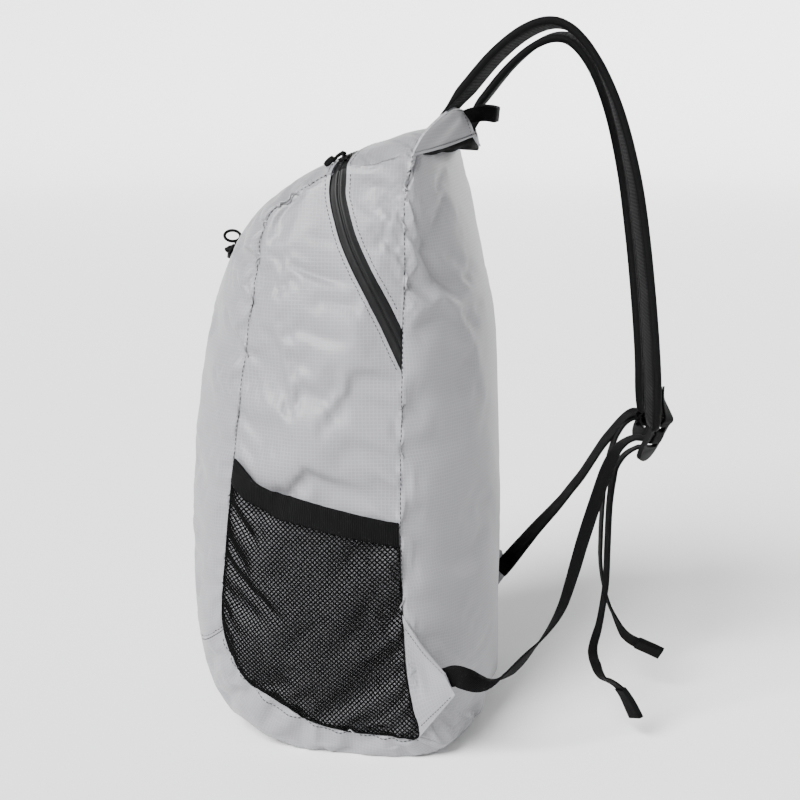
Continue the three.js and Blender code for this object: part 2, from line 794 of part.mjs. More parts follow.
function wingLines(side) {
  const drop = side < 0 ? leftStrapShortfall : 0;
  const lift = seamGap + wingThickness / 2;
  const onBack = (share) => {
    const across = mix(wingRoot.from.across, wingRoot.to.across, share);
    const place = stripPoint(mix(wingRoot.from.row, wingRoot.to.row, share), side * across);
    return place.add(new THREE.Vector3(side * lift * 0.5, lift, lift * 0.6));
  };
  const { place } = strapPlacer(side);
  const half = strapWidth / 2;
  const tip = onBack(1);
  tip.y += bottomWingReach * 0.62;
  tip.z += wingThickness * 3 - drop;
  const clear = seamGap + wingThickness * 0.7;
  const outerTop = place(-clear, side * half, 0);
  const innerTop = place(-clear, -side * half, 0);
  const outerMiddle = onBack(0).lerp(outerTop, 0.45).add(new THREE.Vector3(0, -2, 3));
  const innerMiddle = tip.clone().lerp(onBack(1), 0.5);
  return {
    outer: polyline(new THREE.CatmullRomCurve3([onBack(0), outerMiddle, outerTop]).getSpacedPoints(12)),
    inner: polyline(new THREE.CatmullRomCurve3([onBack(1), innerMiddle, tip, innerTop]).getSpacedPoints(12)),
    root: polyline([0, 0.25, 0.5, 0.75, 1].map(onBack)),
    end: polyline([outerTop, innerTop]),
  };
}

// A wing is a tapered sheet from the top of the back panel up to the end of its strap.
function makeTopWings() {
  const centre = new THREE.Vector3(0, 0, bodyHeight);
  for (const [name, side] of Object.entries(sides)) {
    const { outer, inner, root, end } = wingLines(side);
    const surface = patchBetween(outer, inner, root, end);
    addMesh(`yoke_wing_${name}`, sheet(surface, 7, 7, wingThickness / 2, -wingThickness / 2, centre), 'cloth');
  }
}

// Bottom wings hold the lower webbing at the back seams.
function bottomWingTip(side) {
  const { seam, half } = loopAt(row.backLow + 0.35);
  const drawn = side < 0 ? leftWingDrawn : { out: 0, up: 0 };
  const out = seam.x + bottomWingReach - webbingWidth * 0.2 + drawn.out;
  return new THREE.Vector3(side * (half + bottomWingFlare), out, seam.y + drawn.up);
}

function makeBottomWings() {
  for (const [name, side] of Object.entries(sides)) {
    const lift = seamGap + wingThickness / 2;
    const root = (share) => {
      const { seam, half } = loopAt(mix(row.end, row.backLow - 0.15, share));
      return new THREE.Vector3(side * (half + lift), seam.x + 2 * seamGap, seam.y);
    };
    const tip = bottomWingTip(side);
    const slope = webbingWidth / 2;
    const low = tip.clone().add(new THREE.Vector3(0, slope * 0.55, -slope));
    const high = tip.clone().add(new THREE.Vector3(0, -slope * 0.55, slope));
    const foot = root(0);
    const head = root(1);
    const rootLine = [0, 0.2, 0.4, 0.6, 0.8, 1].map(root);
    const upper = new THREE.CatmullRomCurve3([
      head,
      head.clone().lerp(high, 0.45).add(new THREE.Vector3(0, 0, -slope * 0.5)),
      high,
    ]).getSpacedPoints(8);
    const surface = patchBetween(polyline(rootLine), polyline([low, high]), polyline([foot, low]), polyline(upper));
    const centre = new THREE.Vector3(0, 0, bodyCentre.z);
    addMesh(`bottom_wing_${name}`, sheet(surface, 5, 5, wingThickness / 2, -wingThickness / 2, centre), 'cloth');
  }
}

// Adjusters: a flat frame with two slots, turned a little so that its face looks outwards.
function lockFrame(side) {
  const { length, place } = strapPlacer(side);
  const end = place(length, 0, 0);
  const tilt = THREE.MathUtils.degToRad(lockTilt);
  const turn = THREE.MathUtils.degToRad(lockTurn) * side;
  const down = new THREE.Vector3(0, -Math.sin(tilt), -Math.cos(tilt));
  const width = new THREE.Vector3(1, 0, 0).applyAxisAngle(down, turn);
  const face = new THREE.Vector3().crossVectors(down, width).normalize();
  if (face.y < 0) face.negate();
  const outward = new THREE.Vector3(0, 1.45 * edgeBindingThickness, 0);
  const centre = end.clone().add(outward).addScaledVector(down, lockLength / 2 + 2.5 * edgeBindingWidth);
  return { centre, down, width, face };
}

const lockBar = 4;
const lockSlotHalf = webbingWidth / 2 + 0.8;
const upperSlot = { from: -lockLength / 2 + lockBar, to: -lockLength / 2 + lockBar + 9 };
const lowerSlot = { from: upperSlot.to + lockBar + 0.5, to: upperSlot.to + lockBar + 5.5 };

function lockPoint(frame, along, up, across = 0) {
  return frame.centre.clone()
    .addScaledVector(frame.down, along)
    .addScaledVector(frame.face, up)
    .addScaledVector(frame.width, across);
}

function makeLocks() {
  for (const [name, side] of Object.entries(sides)) {
    const frame = lockFrame(side);
    const half = lockWidth / 2;
    const reach = lockLength / 2;
    const outline = new THREE.Shape();
    outline.moveTo(-half * 0.72, -reach);
    outline.lineTo(half * 0.72, -reach);
    outline.quadraticCurveTo(half, -reach, half, -reach + half * 0.5);
    outline.lineTo(half, reach * 0.35);
    outline.quadraticCurveTo(half * 0.9, reach, 0, reach);
    outline.quadraticCurveTo(-half * 0.9, reach, -half, reach * 0.35);
    outline.lineTo(-half, -reach + half * 0.5);
    outline.quadraticCurveTo(-half, -reach, -half * 0.72, -reach);
    for (const slot of [upperSlot, lowerSlot]) {
      const hole = new THREE.Path();
      hole.moveTo(-lockSlotHalf, slot.from);
      hole.lineTo(-lockSlotHalf, slot.to);
      hole.lineTo(lockSlotHalf, slot.to);
      hole.lineTo(lockSlotHalf, slot.from);
      outline.holes.push(hole);
    }
    const plate = new THREE.ExtrudeGeometry(outline, { depth: lockThickness, bevelEnabled: false, curveSegments: 4 });
    plate.translate(0, 0, -lockThickness / 2);
    const turned = new THREE.Vector3().crossVectors(frame.width, frame.down);
    const basis = new THREE.Matrix4().makeBasis(frame.width, frame.down, turned);
    basis.setPosition(frame.centre);
    plate.applyMatrix4(basis);
    addMesh(`adjuster_${name}`, plate, 'acetal');
    addMesh(`adjuster_loop_${name}`, adjusterLoop(frame, side), 'webbing');
    addMesh(`lower_webbing_${name}`, lowerWebbing(frame, name, side), 'webbing');
  }
}

// How far a webbing's middle stands off the middle of the adjuster's plate.
const webbingClear = lockThickness / 2 + 2 * seamGap + webbingThickness / 2;

// A short loop of webbing, sewn to the strap's outer face, goes round the adjuster's top bar.
function adjusterLoop(frame, side) {
  const { length, place } = strapPlacer(side);
  const offFace = edgeBindingThickness / 2 + 2 * seamGap + webbingThickness / 2;
  const secondLayer = offFace + webbingThickness + seamGap;
  const turnAt = upperSlot.from + 1.5 * webbingThickness;
  const lock = (along, up) => lockPoint(frame, along, up);
  const sewn = 2;
  const route = [
    place(length - loopSewn, 0, -offFace),
    place(length - loopSewn * 0.2, 0, -offFace),
    lock(upperSlot.from - lockBar - 1, -webbingClear),
    lock(upperSlot.from - 1, -webbingClear),
    lock(turnAt - 0.4, -webbingClear * 0.7),
    lock(turnAt, 0),
    lock(turnAt - 0.4, webbingClear * 0.7),
    lock(upperSlot.from - 1, webbingClear),
    lock(upperSlot.from - lockBar - 1, webbingClear),
    place(length - loopSewn * 0.3, 0, -secondLayer),
    place(length - loopSewn, 0, -secondLayer),
  ];
  const stops = route.map((at, k) => {
    const onStrap = k < sewn || k >= route.length - sewn;
    return { at, width: onStrap ? sideAxis : frame.width };
  });
  return ribbonThrough(stops, 2, webbingWidth, webbingThickness);
}

// The lower webbing comes up from the bottom wing, turns over the adjuster's middle bar
// and hangs down as a free tail.
function lowerWebbing(frame, name, side) {
  const start = bottomWingTip(side).add(new THREE.Vector3(0, 1.5 * webbingThickness, webbingThickness * 0.6));
  const below = lockLength / 2 + 3;
  const behind = lockPoint(frame, below, -webbingClear - webbingThickness);
  const span = behind.distanceTo(start);
  const alongWing = new THREE.Vector3(0, 0.5, -0.85).multiplyScalar(-side);
  const turnedWidth = (turned) => frame.width.clone().multiplyScalar(1 - turned).addScaledVector(alongWing, turned);
  const rising = webbingSides[name].map(([share, sag, turned]) => ({
    at: behind.clone().lerp(start, share).add(new THREE.Vector3(0, 0, -sag * span)),
    width: turnedWidth(turned),
  }));
  const turnAt = upperSlot.to - 1.6 * webbingThickness;
  const overBar = [[upperSlot.to + 2, -webbingClear], [upperSlot.to - 0.6, -webbingClear], [turnAt + 0.5, -webbingClear * 0.7],
    [turnAt, 0], [turnAt + 0.5, webbingClear * 0.7], [upperSlot.to - 0.6, webbingClear],
    [upperSlot.to + 2, webbingClear], [lowerSlot.to, webbingClear], [below, webbingClear + 0.6]];
  const base = lockPoint(frame, below, webbingClear + 0.6);
  const tail = tailSides[name].map(([out, fall]) => base.clone().add(new THREE.Vector3(0, out * tailDrop, -fall * tailDrop)));
  const stops = [
    { at: start, width: turnedWidth(1) },
    ...rising.slice().reverse(),
    { at: behind, width: frame.width },
    ...overBar.map(([along, lift]) => ({ at: lockPoint(frame, along, lift), width: frame.width })),
    ...tail.map((at, k) => ({ at, width: frame.width.clone().lerp(sideAxis, (k + 1) / tail.length) })),
  ];
  return ribbonThrough(stops, 2, webbingWidth, webbingThickness);
}

// The haul loop stands out between the wings, sewn to their inner edges.
function makeHaulLoop() {
  const sewnAt = 0.82;
  const ends = [1, -1].map((side) => {
    const { inner } = wingLines(side);
    const at = inner(sewnAt);
    at.x -= side * (wingThickness / 2 + haulThickness / 2 + 2 * seamGap);
    return { at, width: inner(sewnAt + 0.1).sub(inner(sewnAt - 0.1)) };
  });
  const far = ends[0].at.y + haulReach;
  const level = ends[0].at.z;
  const half = haulSpan / 2;
  const upright = new THREE.Vector3(0, 0.1, 1);
  const leg = [[half, -haulReach * 0.7, 0], [half, -haulReach * 0.3, 1], [half * 0.75, 0, 0]];
  const farLeg = leg.slice().reverse().map(([x, y, z]) => [-x, y, z]);
  const route = [...leg, [0, haulReach * 0.04, 0], ...farLeg].map(([x, y, z]) => new THREE.Vector3(x, far + y, level + z));
  const stops = [ends[0], ...route.map((at) => ({ at, width: upright })), ends[1]];
  addMesh('haul_loop', ribbonThrough(stops, 3, haulWebbing, haulThickness), 'webbing');
}

// A dark lining closes the yoke between the wings, under the haul loop.
function makeYokeLining() {
  const root = stripPoint(row.topBack + liningRow, 0);
  const lift = liningThickness;
  const route = [[lift * 0.8, lift * 0.6], [8, -1.5], [13.5, -2], [17, 0.5], [18.5, 4]];
  const stops = route.map(([y, z]) => ({ at: new THREE.Vector3(0, root.y + y, root.z + z), width: sideAxis }));
  addMesh('yoke_lining', ribbonThrough(stops, 2, liningWidth, liningThickness), 'spacer');
}

// The outward direction of the strip between the side seams.
function stripNormal(place, across) {
  const surface = (u, v) => stripPoint(place + u - 0.5, across + v - 0.5);
  return surfaceNormal(surface, 0.5, 0.5, bodyCentre);
}

// The front pocket's zip lies aslant on the front panel, from high on the right to low on the left.
function frontZipPlace(share, offset) {
  const { from, to, slant } = frontZip;
  const place = mix(from.place, to.place, share) - offset * slant.place;
  return [place, mix(from.across, to.across, share) + offset * slant.across];
}

function makeFrontZip() {
  const surface = (u, v) => stripPoint(...frontZipPlace(u, mix(-1, 1, v)));
  const lift = 2 * seamGap;
  addMesh('front_zip_tape', sheet(surface, 14, 2, lift + zipTapeThickness, lift), 'zip');
}

// A zip slider: a low block with a raised middle, over a place on the strip.
function makeSlider(name, frame, low) {
  const half = sliderLength / 2;
  const profile = [[-half, 0], [half, 0], [half, 0.45], [half * 0.5, 1], [-half * 0.5, 1], [-half, 0.45]];
  const ends = [-sliderWidth / 2, sliderWidth / 2];
  const rings = ends.map((across) => profile.map(([along, up]) => frame.place.clone()
    .addScaledVector(frame.along, along)
    .addScaledVector(frame.across, across)
    .addScaledVector(frame.up, low + up * sliderThickness)));
  addMesh(name, loft(rings), 'acetal');
}

// A closed loop of round cord through places.
function cordLoop(places, radius, segments, hint) {
  const curve = new THREE.CatmullRomCurve3(places, true);
  const rings = [];
  for (let k = 0; k < segments; k += 1) {
    const share = k / segments;
    rings.push(roundRing(frameAt(curve.getPoint(share), curve.getTangent(share), hint), radius, 5));
  }
  return loft(rings, true);
}

// The sliders with their pulls: a cord and a moulded end on the main zip, a cord ring on the front zip.
function makePulls() {
  const mainUp = stripNormal(row.zip, mainSliderAcross);
  const alongZip = sideAxis.clone().addScaledVector(mainUp, -mainUp.x).normalize();
  const mainFrame = { place: stripPoint(row.zip, mainSliderAcross), along: alongZip, up: mainUp };
  mainFrame.across = new THREE.Vector3().crossVectors(mainUp, alongZip);
  const mainLow = -clothWall - zipTapeDepth + seamGap;
  makeSlider('main_zip_slider', mainFrame, mainLow);

  const cord = pullCord / 2;
  const forward = mainFrame.across.y < 0 ? mainFrame.across : mainFrame.across.clone().negate();
  const sliderTop = mainLow + sliderThickness;
  const laid = (ahead, aside, above) => mainFrame.place.clone()
    .addScaledVector(forward, ahead)
    .addScaledVector(mainFrame.along, aside)
    .addScaledVector(mainUp, above);
  const overSlider = sliderTop + seamGap + cord;
  const overCloth = cord + 3 * seamGap;
  const loopEnd = pullLength * 0.6;
  const loop = [[0, 1.6, overSlider], [loopEnd * 0.6, 2.4, overSlider], [loopEnd, 1.7, overCloth],
    [loopEnd, -1.7, overCloth], [loopEnd * 0.6, -2.4, overSlider], [0, -1.6, overSlider]];
  addMesh('main_zip_cord', cordLoop(loop.map((at) => laid(...at)), cord, 12, mainUp), 'cord');
  const end = loopEnd + cord * 1.6;
  const grip = [[end, 0.6], [end + pullLength * 0.1, 1], [end + pullLength * 0.45, 1], [end + pullLength * 0.55, 0.5]];
  const rings = grip.map(([ahead, full]) => {
    const wide = 3.2 * full;
    const tall = 2 * full;
    const middle = overCloth + 1;
    return [[-wide, -tall], [wide, -tall], [wide, tall], [-wide, tall]]
      .map(([aside, up]) => laid(ahead, aside, middle + up));
  });
  addMesh('main_zip_pull', loft(rings), 'acetal');

  const spot = frontZipPlace(frontSliderShare, 0);
  const frontUp = stripNormal(...spot);
  const further = stripPoint(...frontZipPlace(frontSliderShare + 0.05, 0));
  const frontAlong = further.sub(stripPoint(...spot));
  frontAlong.addScaledVector(frontUp, -frontUp.dot(frontAlong)).normalize();
  const frontFrame = { place: stripPoint(...spot), along: frontAlong, up: frontUp };
  frontFrame.across = new THREE.Vector3().crossVectors(frontUp, frontAlong);
  const frontLow = 4 * seamGap + zipTapeThickness;
  makeSlider('front_zip_slider', frontFrame, frontLow);
  const wire = ringWire / 2;
  const long = ringOuter / 2 - wire;
  const ring = [];
  for (let k = 0; k < 8; k += 1) {
    const angle = (k * Math.PI) / 4;
    const centre = new THREE.Vector3(0, -ringWire * 0.8, sliderLength * 1.08).add(frontFrame.place);
    ring.push(centre.add(new THREE.Vector3(0, long * Math.cos(angle), long * 0.66 * Math.sin(angle))));
  }
  addMesh('front_zip_ring', cordLoop(ring, wire, 14, sideAxis), 'cord');
}

makeSidePanels();
makeStripPanels();
makeTopPanel();
makeMainZip();
makePockets();
makeStraps();
makeTopWings();
makeBottomWings();
makeLocks();
makeHaulLoop();
makeYokeLining();
makeFrontZip();
makePulls();

export default pack;
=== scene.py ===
# %% [markdown]
# # A packable backpack
# A small daypack of thin grey ripstop nylon, stuffed full and standing on its base. The real one is
# sewn from flat panels: a front, a back, a base strip, a top and two sides. The zip, net pockets, yoke,
# padded straps and webbing are added to them. This lesson makes the cloth first, because everything
# else is sewn to it. Sizes are in millimetres until a mesh is made, and +X is the wearer's right.

# %% Load the frame
import math
import bpy
import numpy as np
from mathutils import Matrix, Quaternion, Vector
from mathutils.bvhtree import BVHTree
from mathutils.geometry import barycentric_transform


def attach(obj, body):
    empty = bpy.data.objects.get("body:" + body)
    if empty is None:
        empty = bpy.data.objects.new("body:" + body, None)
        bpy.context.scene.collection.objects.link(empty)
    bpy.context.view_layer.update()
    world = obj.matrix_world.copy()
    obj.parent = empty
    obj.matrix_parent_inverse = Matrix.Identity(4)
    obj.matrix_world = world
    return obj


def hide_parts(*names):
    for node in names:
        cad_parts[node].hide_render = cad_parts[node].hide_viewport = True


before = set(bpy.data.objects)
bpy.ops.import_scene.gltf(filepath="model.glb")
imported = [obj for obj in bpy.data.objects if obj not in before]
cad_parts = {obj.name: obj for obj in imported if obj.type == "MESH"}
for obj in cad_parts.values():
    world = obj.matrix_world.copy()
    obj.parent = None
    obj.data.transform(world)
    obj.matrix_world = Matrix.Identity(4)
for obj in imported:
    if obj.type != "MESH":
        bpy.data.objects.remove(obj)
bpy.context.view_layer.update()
MM = 0.001
print("frame nodes:", len(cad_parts))

# %% [markdown]
# The camera stands where the photographer stood: on the pack's right, a little behind it and
# a little above. A long lens from 1.3 m keeps the sides almost parallel. It is made first, so that
# every later step can be looked at through it.

# %% Camera
camera_place = Vector((1266.58, 228.15, 493.04)) * MM
camera_aim = Vector((0, 4.82, 233.71)) * MM
camera_data = bpy.data.cameras.new("photo_camera")
camera_data.sensor_width = 36
camera_data.lens = 80.1


def linked(name, data):
    """A new object in the scene that holds the data."""
    made = bpy.data.objects.new(name, data)
    bpy.context.collection.objects.link(made)
    return made


camera = linked("photo_camera", camera_data)
camera.location = camera_place
camera.rotation_euler = (camera_aim - camera_place).to_track_quat("-Z", "Y").to_euler()
bpy.context.scene.camera = camera
print("camera to pack, mm:", round((camera_aim - camera_place).length / MM))

# %% [markdown]
# ## Materials
# Each finish is named for what the real one is. Two helpers come first: one turns an sRGB hex colour
# to linear light, and one adds a shader node with its settings and links.

# %% Colour and node helpers
def linear(hex_colour):
    parts = [int(hex_colour[k:k + 2], 16) / 255 for k in (1, 3, 5)]
    return (*[c / 12.92 if c <= 0.04045 else ((c + 0.055) / 1.055) ** 2.4 for c in parts], 1)


def add_node(tree, kind, settings=None, **inputs):
    node = tree.nodes.new(kind)
    for name, value in (settings or {}).items():
        setattr(node, name, value)
    for name, value in inputs.items():
        key = int(name[1:]) if name[0] == "i" and name[1:].isdigit() else name.replace("_", " ")
        if isinstance(value, bpy.types.NodeSocket):
            tree.links.new(value, node.inputs[key])
        else:
            node.inputs[key].default_value = value
    return node


def new_finish(name):
    finish = bpy.data.materials.new(name)
    finish.use_nodes = True
    tree = finish.node_tree
    return finish, tree, tree.nodes["Principled BSDF"]


print("helpers ready")

# %% [markdown]
# ### Ripstop nylon
# A plain weave of fine nylon with a thicker thread every 2.4 mm both ways, silicone coated, so it has a
# soft silky gloss. The thick threads show as a fine grid, a little raised and a little lighter. The
# hex colours are darker than the cloth looks, because the strong light and the view lift bright greys.
# The grid follows each panel's own cut, so it reads the panel's UV map, which is in metres.

# %% Ripstop nylon
ripstop_pitch = 2.4 * MM


def grid_lines(tree, coordinate, axis, pitch, width):
    split = add_node(tree, "ShaderNodeSeparateXYZ", i0=coordinate)
    scaled = add_node(tree, "ShaderNodeMath", {"operation": "DIVIDE"}, i0=split.outputs[axis], i1=pitch)
    wave = add_node(tree, "ShaderNodeMath", {"operation": "FRACT"}, i0=scaled.outputs[0])
    centred = add_node(tree, "ShaderNodeMath", {"operation": "SUBTRACT"}, i0=wave.outputs[0], i1=0.5)
    away = add_node(tree, "ShaderNodeMath", {"operation": "ABSOLUTE"}, i0=centred.outputs[0])
    return add_node(tree, "ShaderNodeMapRange", {"interpolation_type": "SMOOTHSTEP"}, Value=away.outputs[0],
                    From_Min=width, From_Max=width * 0.25, To_Min=0.0, To_Max=1.0).outputs[0]


def ripstop_finish(name, base, thread, cloud, gloss=0.43):
    finish, tree, shader = new_finish(name)
    uv = add_node(tree, "ShaderNodeTexCoord").outputs["UV"]
    place = add_node(tree, "ShaderNodeTexCoord").outputs["Object"]
    across = grid_lines(tree, uv, "X", ripstop_pitch, 0.2)
    along = grid_lines(tree, uv, "Y", ripstop_pitch, 0.2)
    lines = add_node(tree, "ShaderNodeMath", {"operation": "MAXIMUM"}, i0=across, i1=along).outputs[0]
    clouds = add_node(tree, "ShaderNodeTexNoise", Vector=place, Scale=22.0, Detail=3.0, Roughness=0.6)
    weave = add_node(tree, "ShaderNodeTexNoise", Vector=uv, Scale=2600.0, Detail=2.0)
    tint = add_node(tree, "ShaderNodeMix", {"data_type": "RGBA"}, Factor=clouds.outputs[0],
                    i6=linear(base), i7=linear(cloud)).outputs[2]
    line_share = add_node(tree, "ShaderNodeMath", {"operation": "MULTIPLY"}, i0=lines, i1=0.55).outputs[0]
    colour = add_node(tree, "ShaderNodeMix", {"data_type": "RGBA"}, Factor=line_share, i6=tint, i7=linear(thread))
    rough = add_node(tree, "ShaderNodeMapRange", Value=weave.outputs[0], To_Min=gloss - 0.06, To_Max=gloss + 0.1)
    height = add_node(tree, "ShaderNodeMath", {"operation": "MULTIPLY_ADD"}, i0=weave.outputs[0], i1=0.35, i2=lines)
    bump = add_node(tree, "ShaderNodeBump", Strength=0.45, Distance=0.00012, Height=height.outputs[0])
    tree.links.new(colour.outputs[2], shader.inputs["Base Color"])
    tree.links.new(rough.outputs[0], shader.inputs["Roughness"])
    tree.links.new(bump.outputs[0], shader.inputs["Normal"])
    shader.inputs["Specular IOR Level"].default_value = 0.42
    shader.inputs["Sheen Weight"].default_value = 0.08
    shader.inputs["Sheen Roughness"].default_value = 0.4
    return finish


ripstop = ripstop_finish("silicone_coated_ripstop_nylon", "#707074", "#868689", "#7a7a7e")
print("ripstop thread every", ripstop_pitch / MM, "mm")

# %% [markdown]
# ### Black trim
# The zip is a coil sewn face down, so its smooth polyurethane coated tape shows. The straps are
# knitted spacer mesh, the webbing is woven polyester, the pocket's mouth is bound with ribbed elastic,
# the buckles are moulded acetal, and the cord is braided. They are all black, and only their texture
# and gloss tell them apart, so each gets its own bump and roughness.

# %% Coated zip, elastic, spacer mesh, webbing
def textured_finish(name, base, high, rough, depth, make_height, sheen=0.0, gleam=0.04):
    finish, tree, shader = new_finish(name)
    height = make_height(tree)
    colour = add_node(tree, "ShaderNodeMix", {"data_type": "RGBA"}, Factor=height, i6=linear(base), i7=linear(high))
    bump = add_node(tree, "ShaderNodeBump", Strength=0.7, Distance=depth, Height=height)
    roughness = add_node(tree, "ShaderNodeMapRange", Value=height, To_Min=rough + 0.08, To_Max=rough - 0.06)
    tree.links.new(colour.outputs[2], shader.inputs["Base Color"])
    tree.links.new(bump.outputs[0], shader.inputs["Normal"])
    tree.links.new(roughness.outputs[0], shader.inputs["Roughness"])
    shader.inputs["Specular IOR Level"].default_value = gleam
    shader.inputs["Sheen Weight"].default_value = sheen
    return finish


def fine_grain(scale, source="Object", detail=3.0):
    def height(tree):
        place = add_node(tree, "ShaderNodeTexCoord").outputs[source]
        return add_node(tree, "ShaderNodeTexNoise", Vector=place, Scale=scale, Detail=detail).outputs[0]
    return height


def ribs(pitch, axis, width=0.34):
    def height(tree):
        uv = add_node(tree, "ShaderNodeTexCoord").outputs["UV"]
        lines = grid_lines(tree, uv, axis, pitch, width)
        noise = add_node(tree, "ShaderNodeTexNoise", Vector=uv, Scale=900.0, Detail=2.0)
        return add_node(tree, "ShaderNodeMath", {"operation": "MULTIPLY_ADD"}, i0=noise.outputs[0], i1=0.25,
                        i2=lines).outputs[0]
    return height


def woven_twill(pitch):
    def height(tree):
        uv = add_node(tree, "ShaderNodeTexCoord").outputs["UV"]
        split = add_node(tree, "ShaderNodeSeparateXYZ", i0=uv)
        slanted = add_node(tree, "ShaderNodeMath", {"operation": "ADD"}, i0=split.outputs[0], i1=split.outputs[1])
        mirrored = add_node(tree, "ShaderNodeMath", {"operation": "SUBTRACT"}, i0=split.outputs[0], i1=split.outputs[1])
        joined = add_node(tree, "ShaderNodeCombineXYZ", i0=slanted.outputs[0], i1=mirrored.outputs[0])
        first = grid_lines(tree, joined.outputs[0], "X", pitch, 0.4)
        second = grid_lines(tree, joined.outputs[0], "Y", pitch, 0.4)
        return add_node(tree, "ShaderNodeMath", {"operation": "MULTIPLY"}, i0=first, i1=second).outputs[0]
    return height


def knitted_cells(size):
    def height(tree):
        place = add_node(tree, "ShaderNodeTexCoord").outputs["UV"]
        cells = add_node(tree, "ShaderNodeTexVoronoi", {"feature": "DISTANCE_TO_EDGE"}, Vector=place,
                         Scale=1 / size, Randomness=0.25)
        return add_node(tree, "ShaderNodeMapRange", {"interpolation_type": "SMOOTHSTEP"}, Value=cells.outputs[0],
                        From_Min=0.34, From_Max=0.08, To_Min=0.0, To_Max=1.0).outputs[0]
    return height


coated_zip = textured_finish("polyurethane_coated_zip_tape", "#0a0a0b", "#111112", 0.45, 0.00004,
                             fine_grain(1500, "UV"), gleam=0.16)
elastic = textured_finish("ribbed_elastic_binding", "#060606", "#101011", 0.72, 0.00018, ribs(1.35 * MM, "X"))
net_yarn = textured_finish("knitted_polyester_net", "#050505", "#0c0c0d", 0.7, 0.00006, fine_grain(2200))
spacer_mesh = textured_finish("knitted_spacer_mesh", "#030303", "#101011", 0.85, 0.0005, knitted_cells(2.6 * MM))
webbing_weave = textured_finish("woven_polyester_webbing", "#060606", "#0f0f10", 0.68, 0.00022, woven_twill(1.5 * MM))
edge_tape = textured_finish("folded_binding_tape", "#060606", "#0d0d0e", 0.62, 0.00008, ribs(0.9 * MM, "Y"))
braided_cord = textured_finish("braided_polyester_cord", "#060606", "#101011", 0.6, 0.00015, woven_twill(0.9 * MM))
acetal = textured_finish("moulded_acetal", "#070707", "#0c0c0d", 0.58, 0.00003, fine_grain(1800), gleam=0.08)
dark_thread = textured_finish("dark_polyester_thread", "#161618", "#232326", 0.6, 0.00003, fine_grain(3000))
print("finishes:", len(bpy.data.materials))

# %% [markdown]
# ## The pack's cut
# A soft bag has no straight edges to measure, so its cut is written as rows round the body. Each row
# gives a point on the side seam, a point on the middle of the strip between the two side seams, how
# far the seam stands from the middle, and how squarely the cloth turns there. A smooth curve through the
# rows gives every place on the cloth.

# %% Rows round the body
body_height, body_depth, seam_half_width = 430.0, 220.0, 122.0
side_bulge, side_fullness, crown_fullness = 7.0, 2.2, 0.55
body_centre = np.array([0.0, -35.0, body_height * 0.47])
seam_gap = 0.3
loop_rows = np.array([
    [0.176, 0.047, 0.300, 0.014, 0.967, 4.0], [0.091, 0.045, 0.100, -0.019, 0.967, 8.0],
    [-0.109, 0.051, -0.118, -0.019, 0.967, 8.0], [-0.236, 0.077, -0.291, -0.014, 0.967, 7.0],
    [-0.377, 0.126, -0.509, 0.042, 0.951, 4.0], [-0.459, 0.205, -0.606, 0.151, 0.926, 2.8],
    [-0.445, 0.337, -0.640, 0.326, 0.926, 2.3], [-0.409, 0.500, -0.631, 0.495, 0.934, 2.2],
    [-0.373, 0.653, -0.591, 0.651, 0.902, 2.2], [-0.341, 0.779, -0.523, 0.777, 0.869, 2.2],
    [-0.314, 0.870, -0.432, 0.853, 0.844, 2.2], [-0.241, 0.909, -0.270, 0.925, 0.828, 2.2],
    [-0.086, 0.951, -0.088, 0.973, 0.820, 2.4], [0.018, 0.960, 0.000, 0.984, 0.811, 2.6],
    [0.126, 0.970, 0.136, 1.000, 0.770, 2.6], [0.114, 0.907, 0.212, 0.924, 0.836, 2.6],
    [0.118, 0.791, 0.275, 0.786, 0.885, 2.4], [0.118, 0.663, 0.320, 0.663, 0.934, 2.3],
    [0.114, 0.419, 0.334, 0.419, 0.984, 2.3], [0.132, 0.191, 0.336, 0.181, 1.000, 2.5],
    [0.155, 0.105, 0.332, 0.081, 0.992, 3.0]])
row_count = len(loop_rows)
base_back, front_low, zip_row, top_back, back_low = 0.0, 5.0, 12.0, 14.0, 19.0


def catmull(a, b, c, d, f):
    return 0.5 * (2 * b + (c - a) * f + (2 * a - 5 * b + 4 * c - d) * f ** 2 + (3 * b - a - 3 * c + d) * f ** 3)


def loop_at(place):
    place = np.asarray(place, float)
    start = np.floor(place).astype(int)
    f = (place - start)[..., None]
    value = catmull(*[loop_rows[(start + k) % row_count] for k in (-1, 0, 1, 2)], f)
    scale = np.array([body_depth, body_height])
    return value[..., 0:2] * scale, value[..., 2:4] * scale, value[..., 4] * seam_half_width, value[..., 5]


print("rows:", row_count, "height mm:", body_height)

# %% [markdown]
# Thin cloth over soft filling gathers at its seams. The main folds that the photo shows start at the
# side seams and run out across the panels, so each is written with its row, side, depth and width.

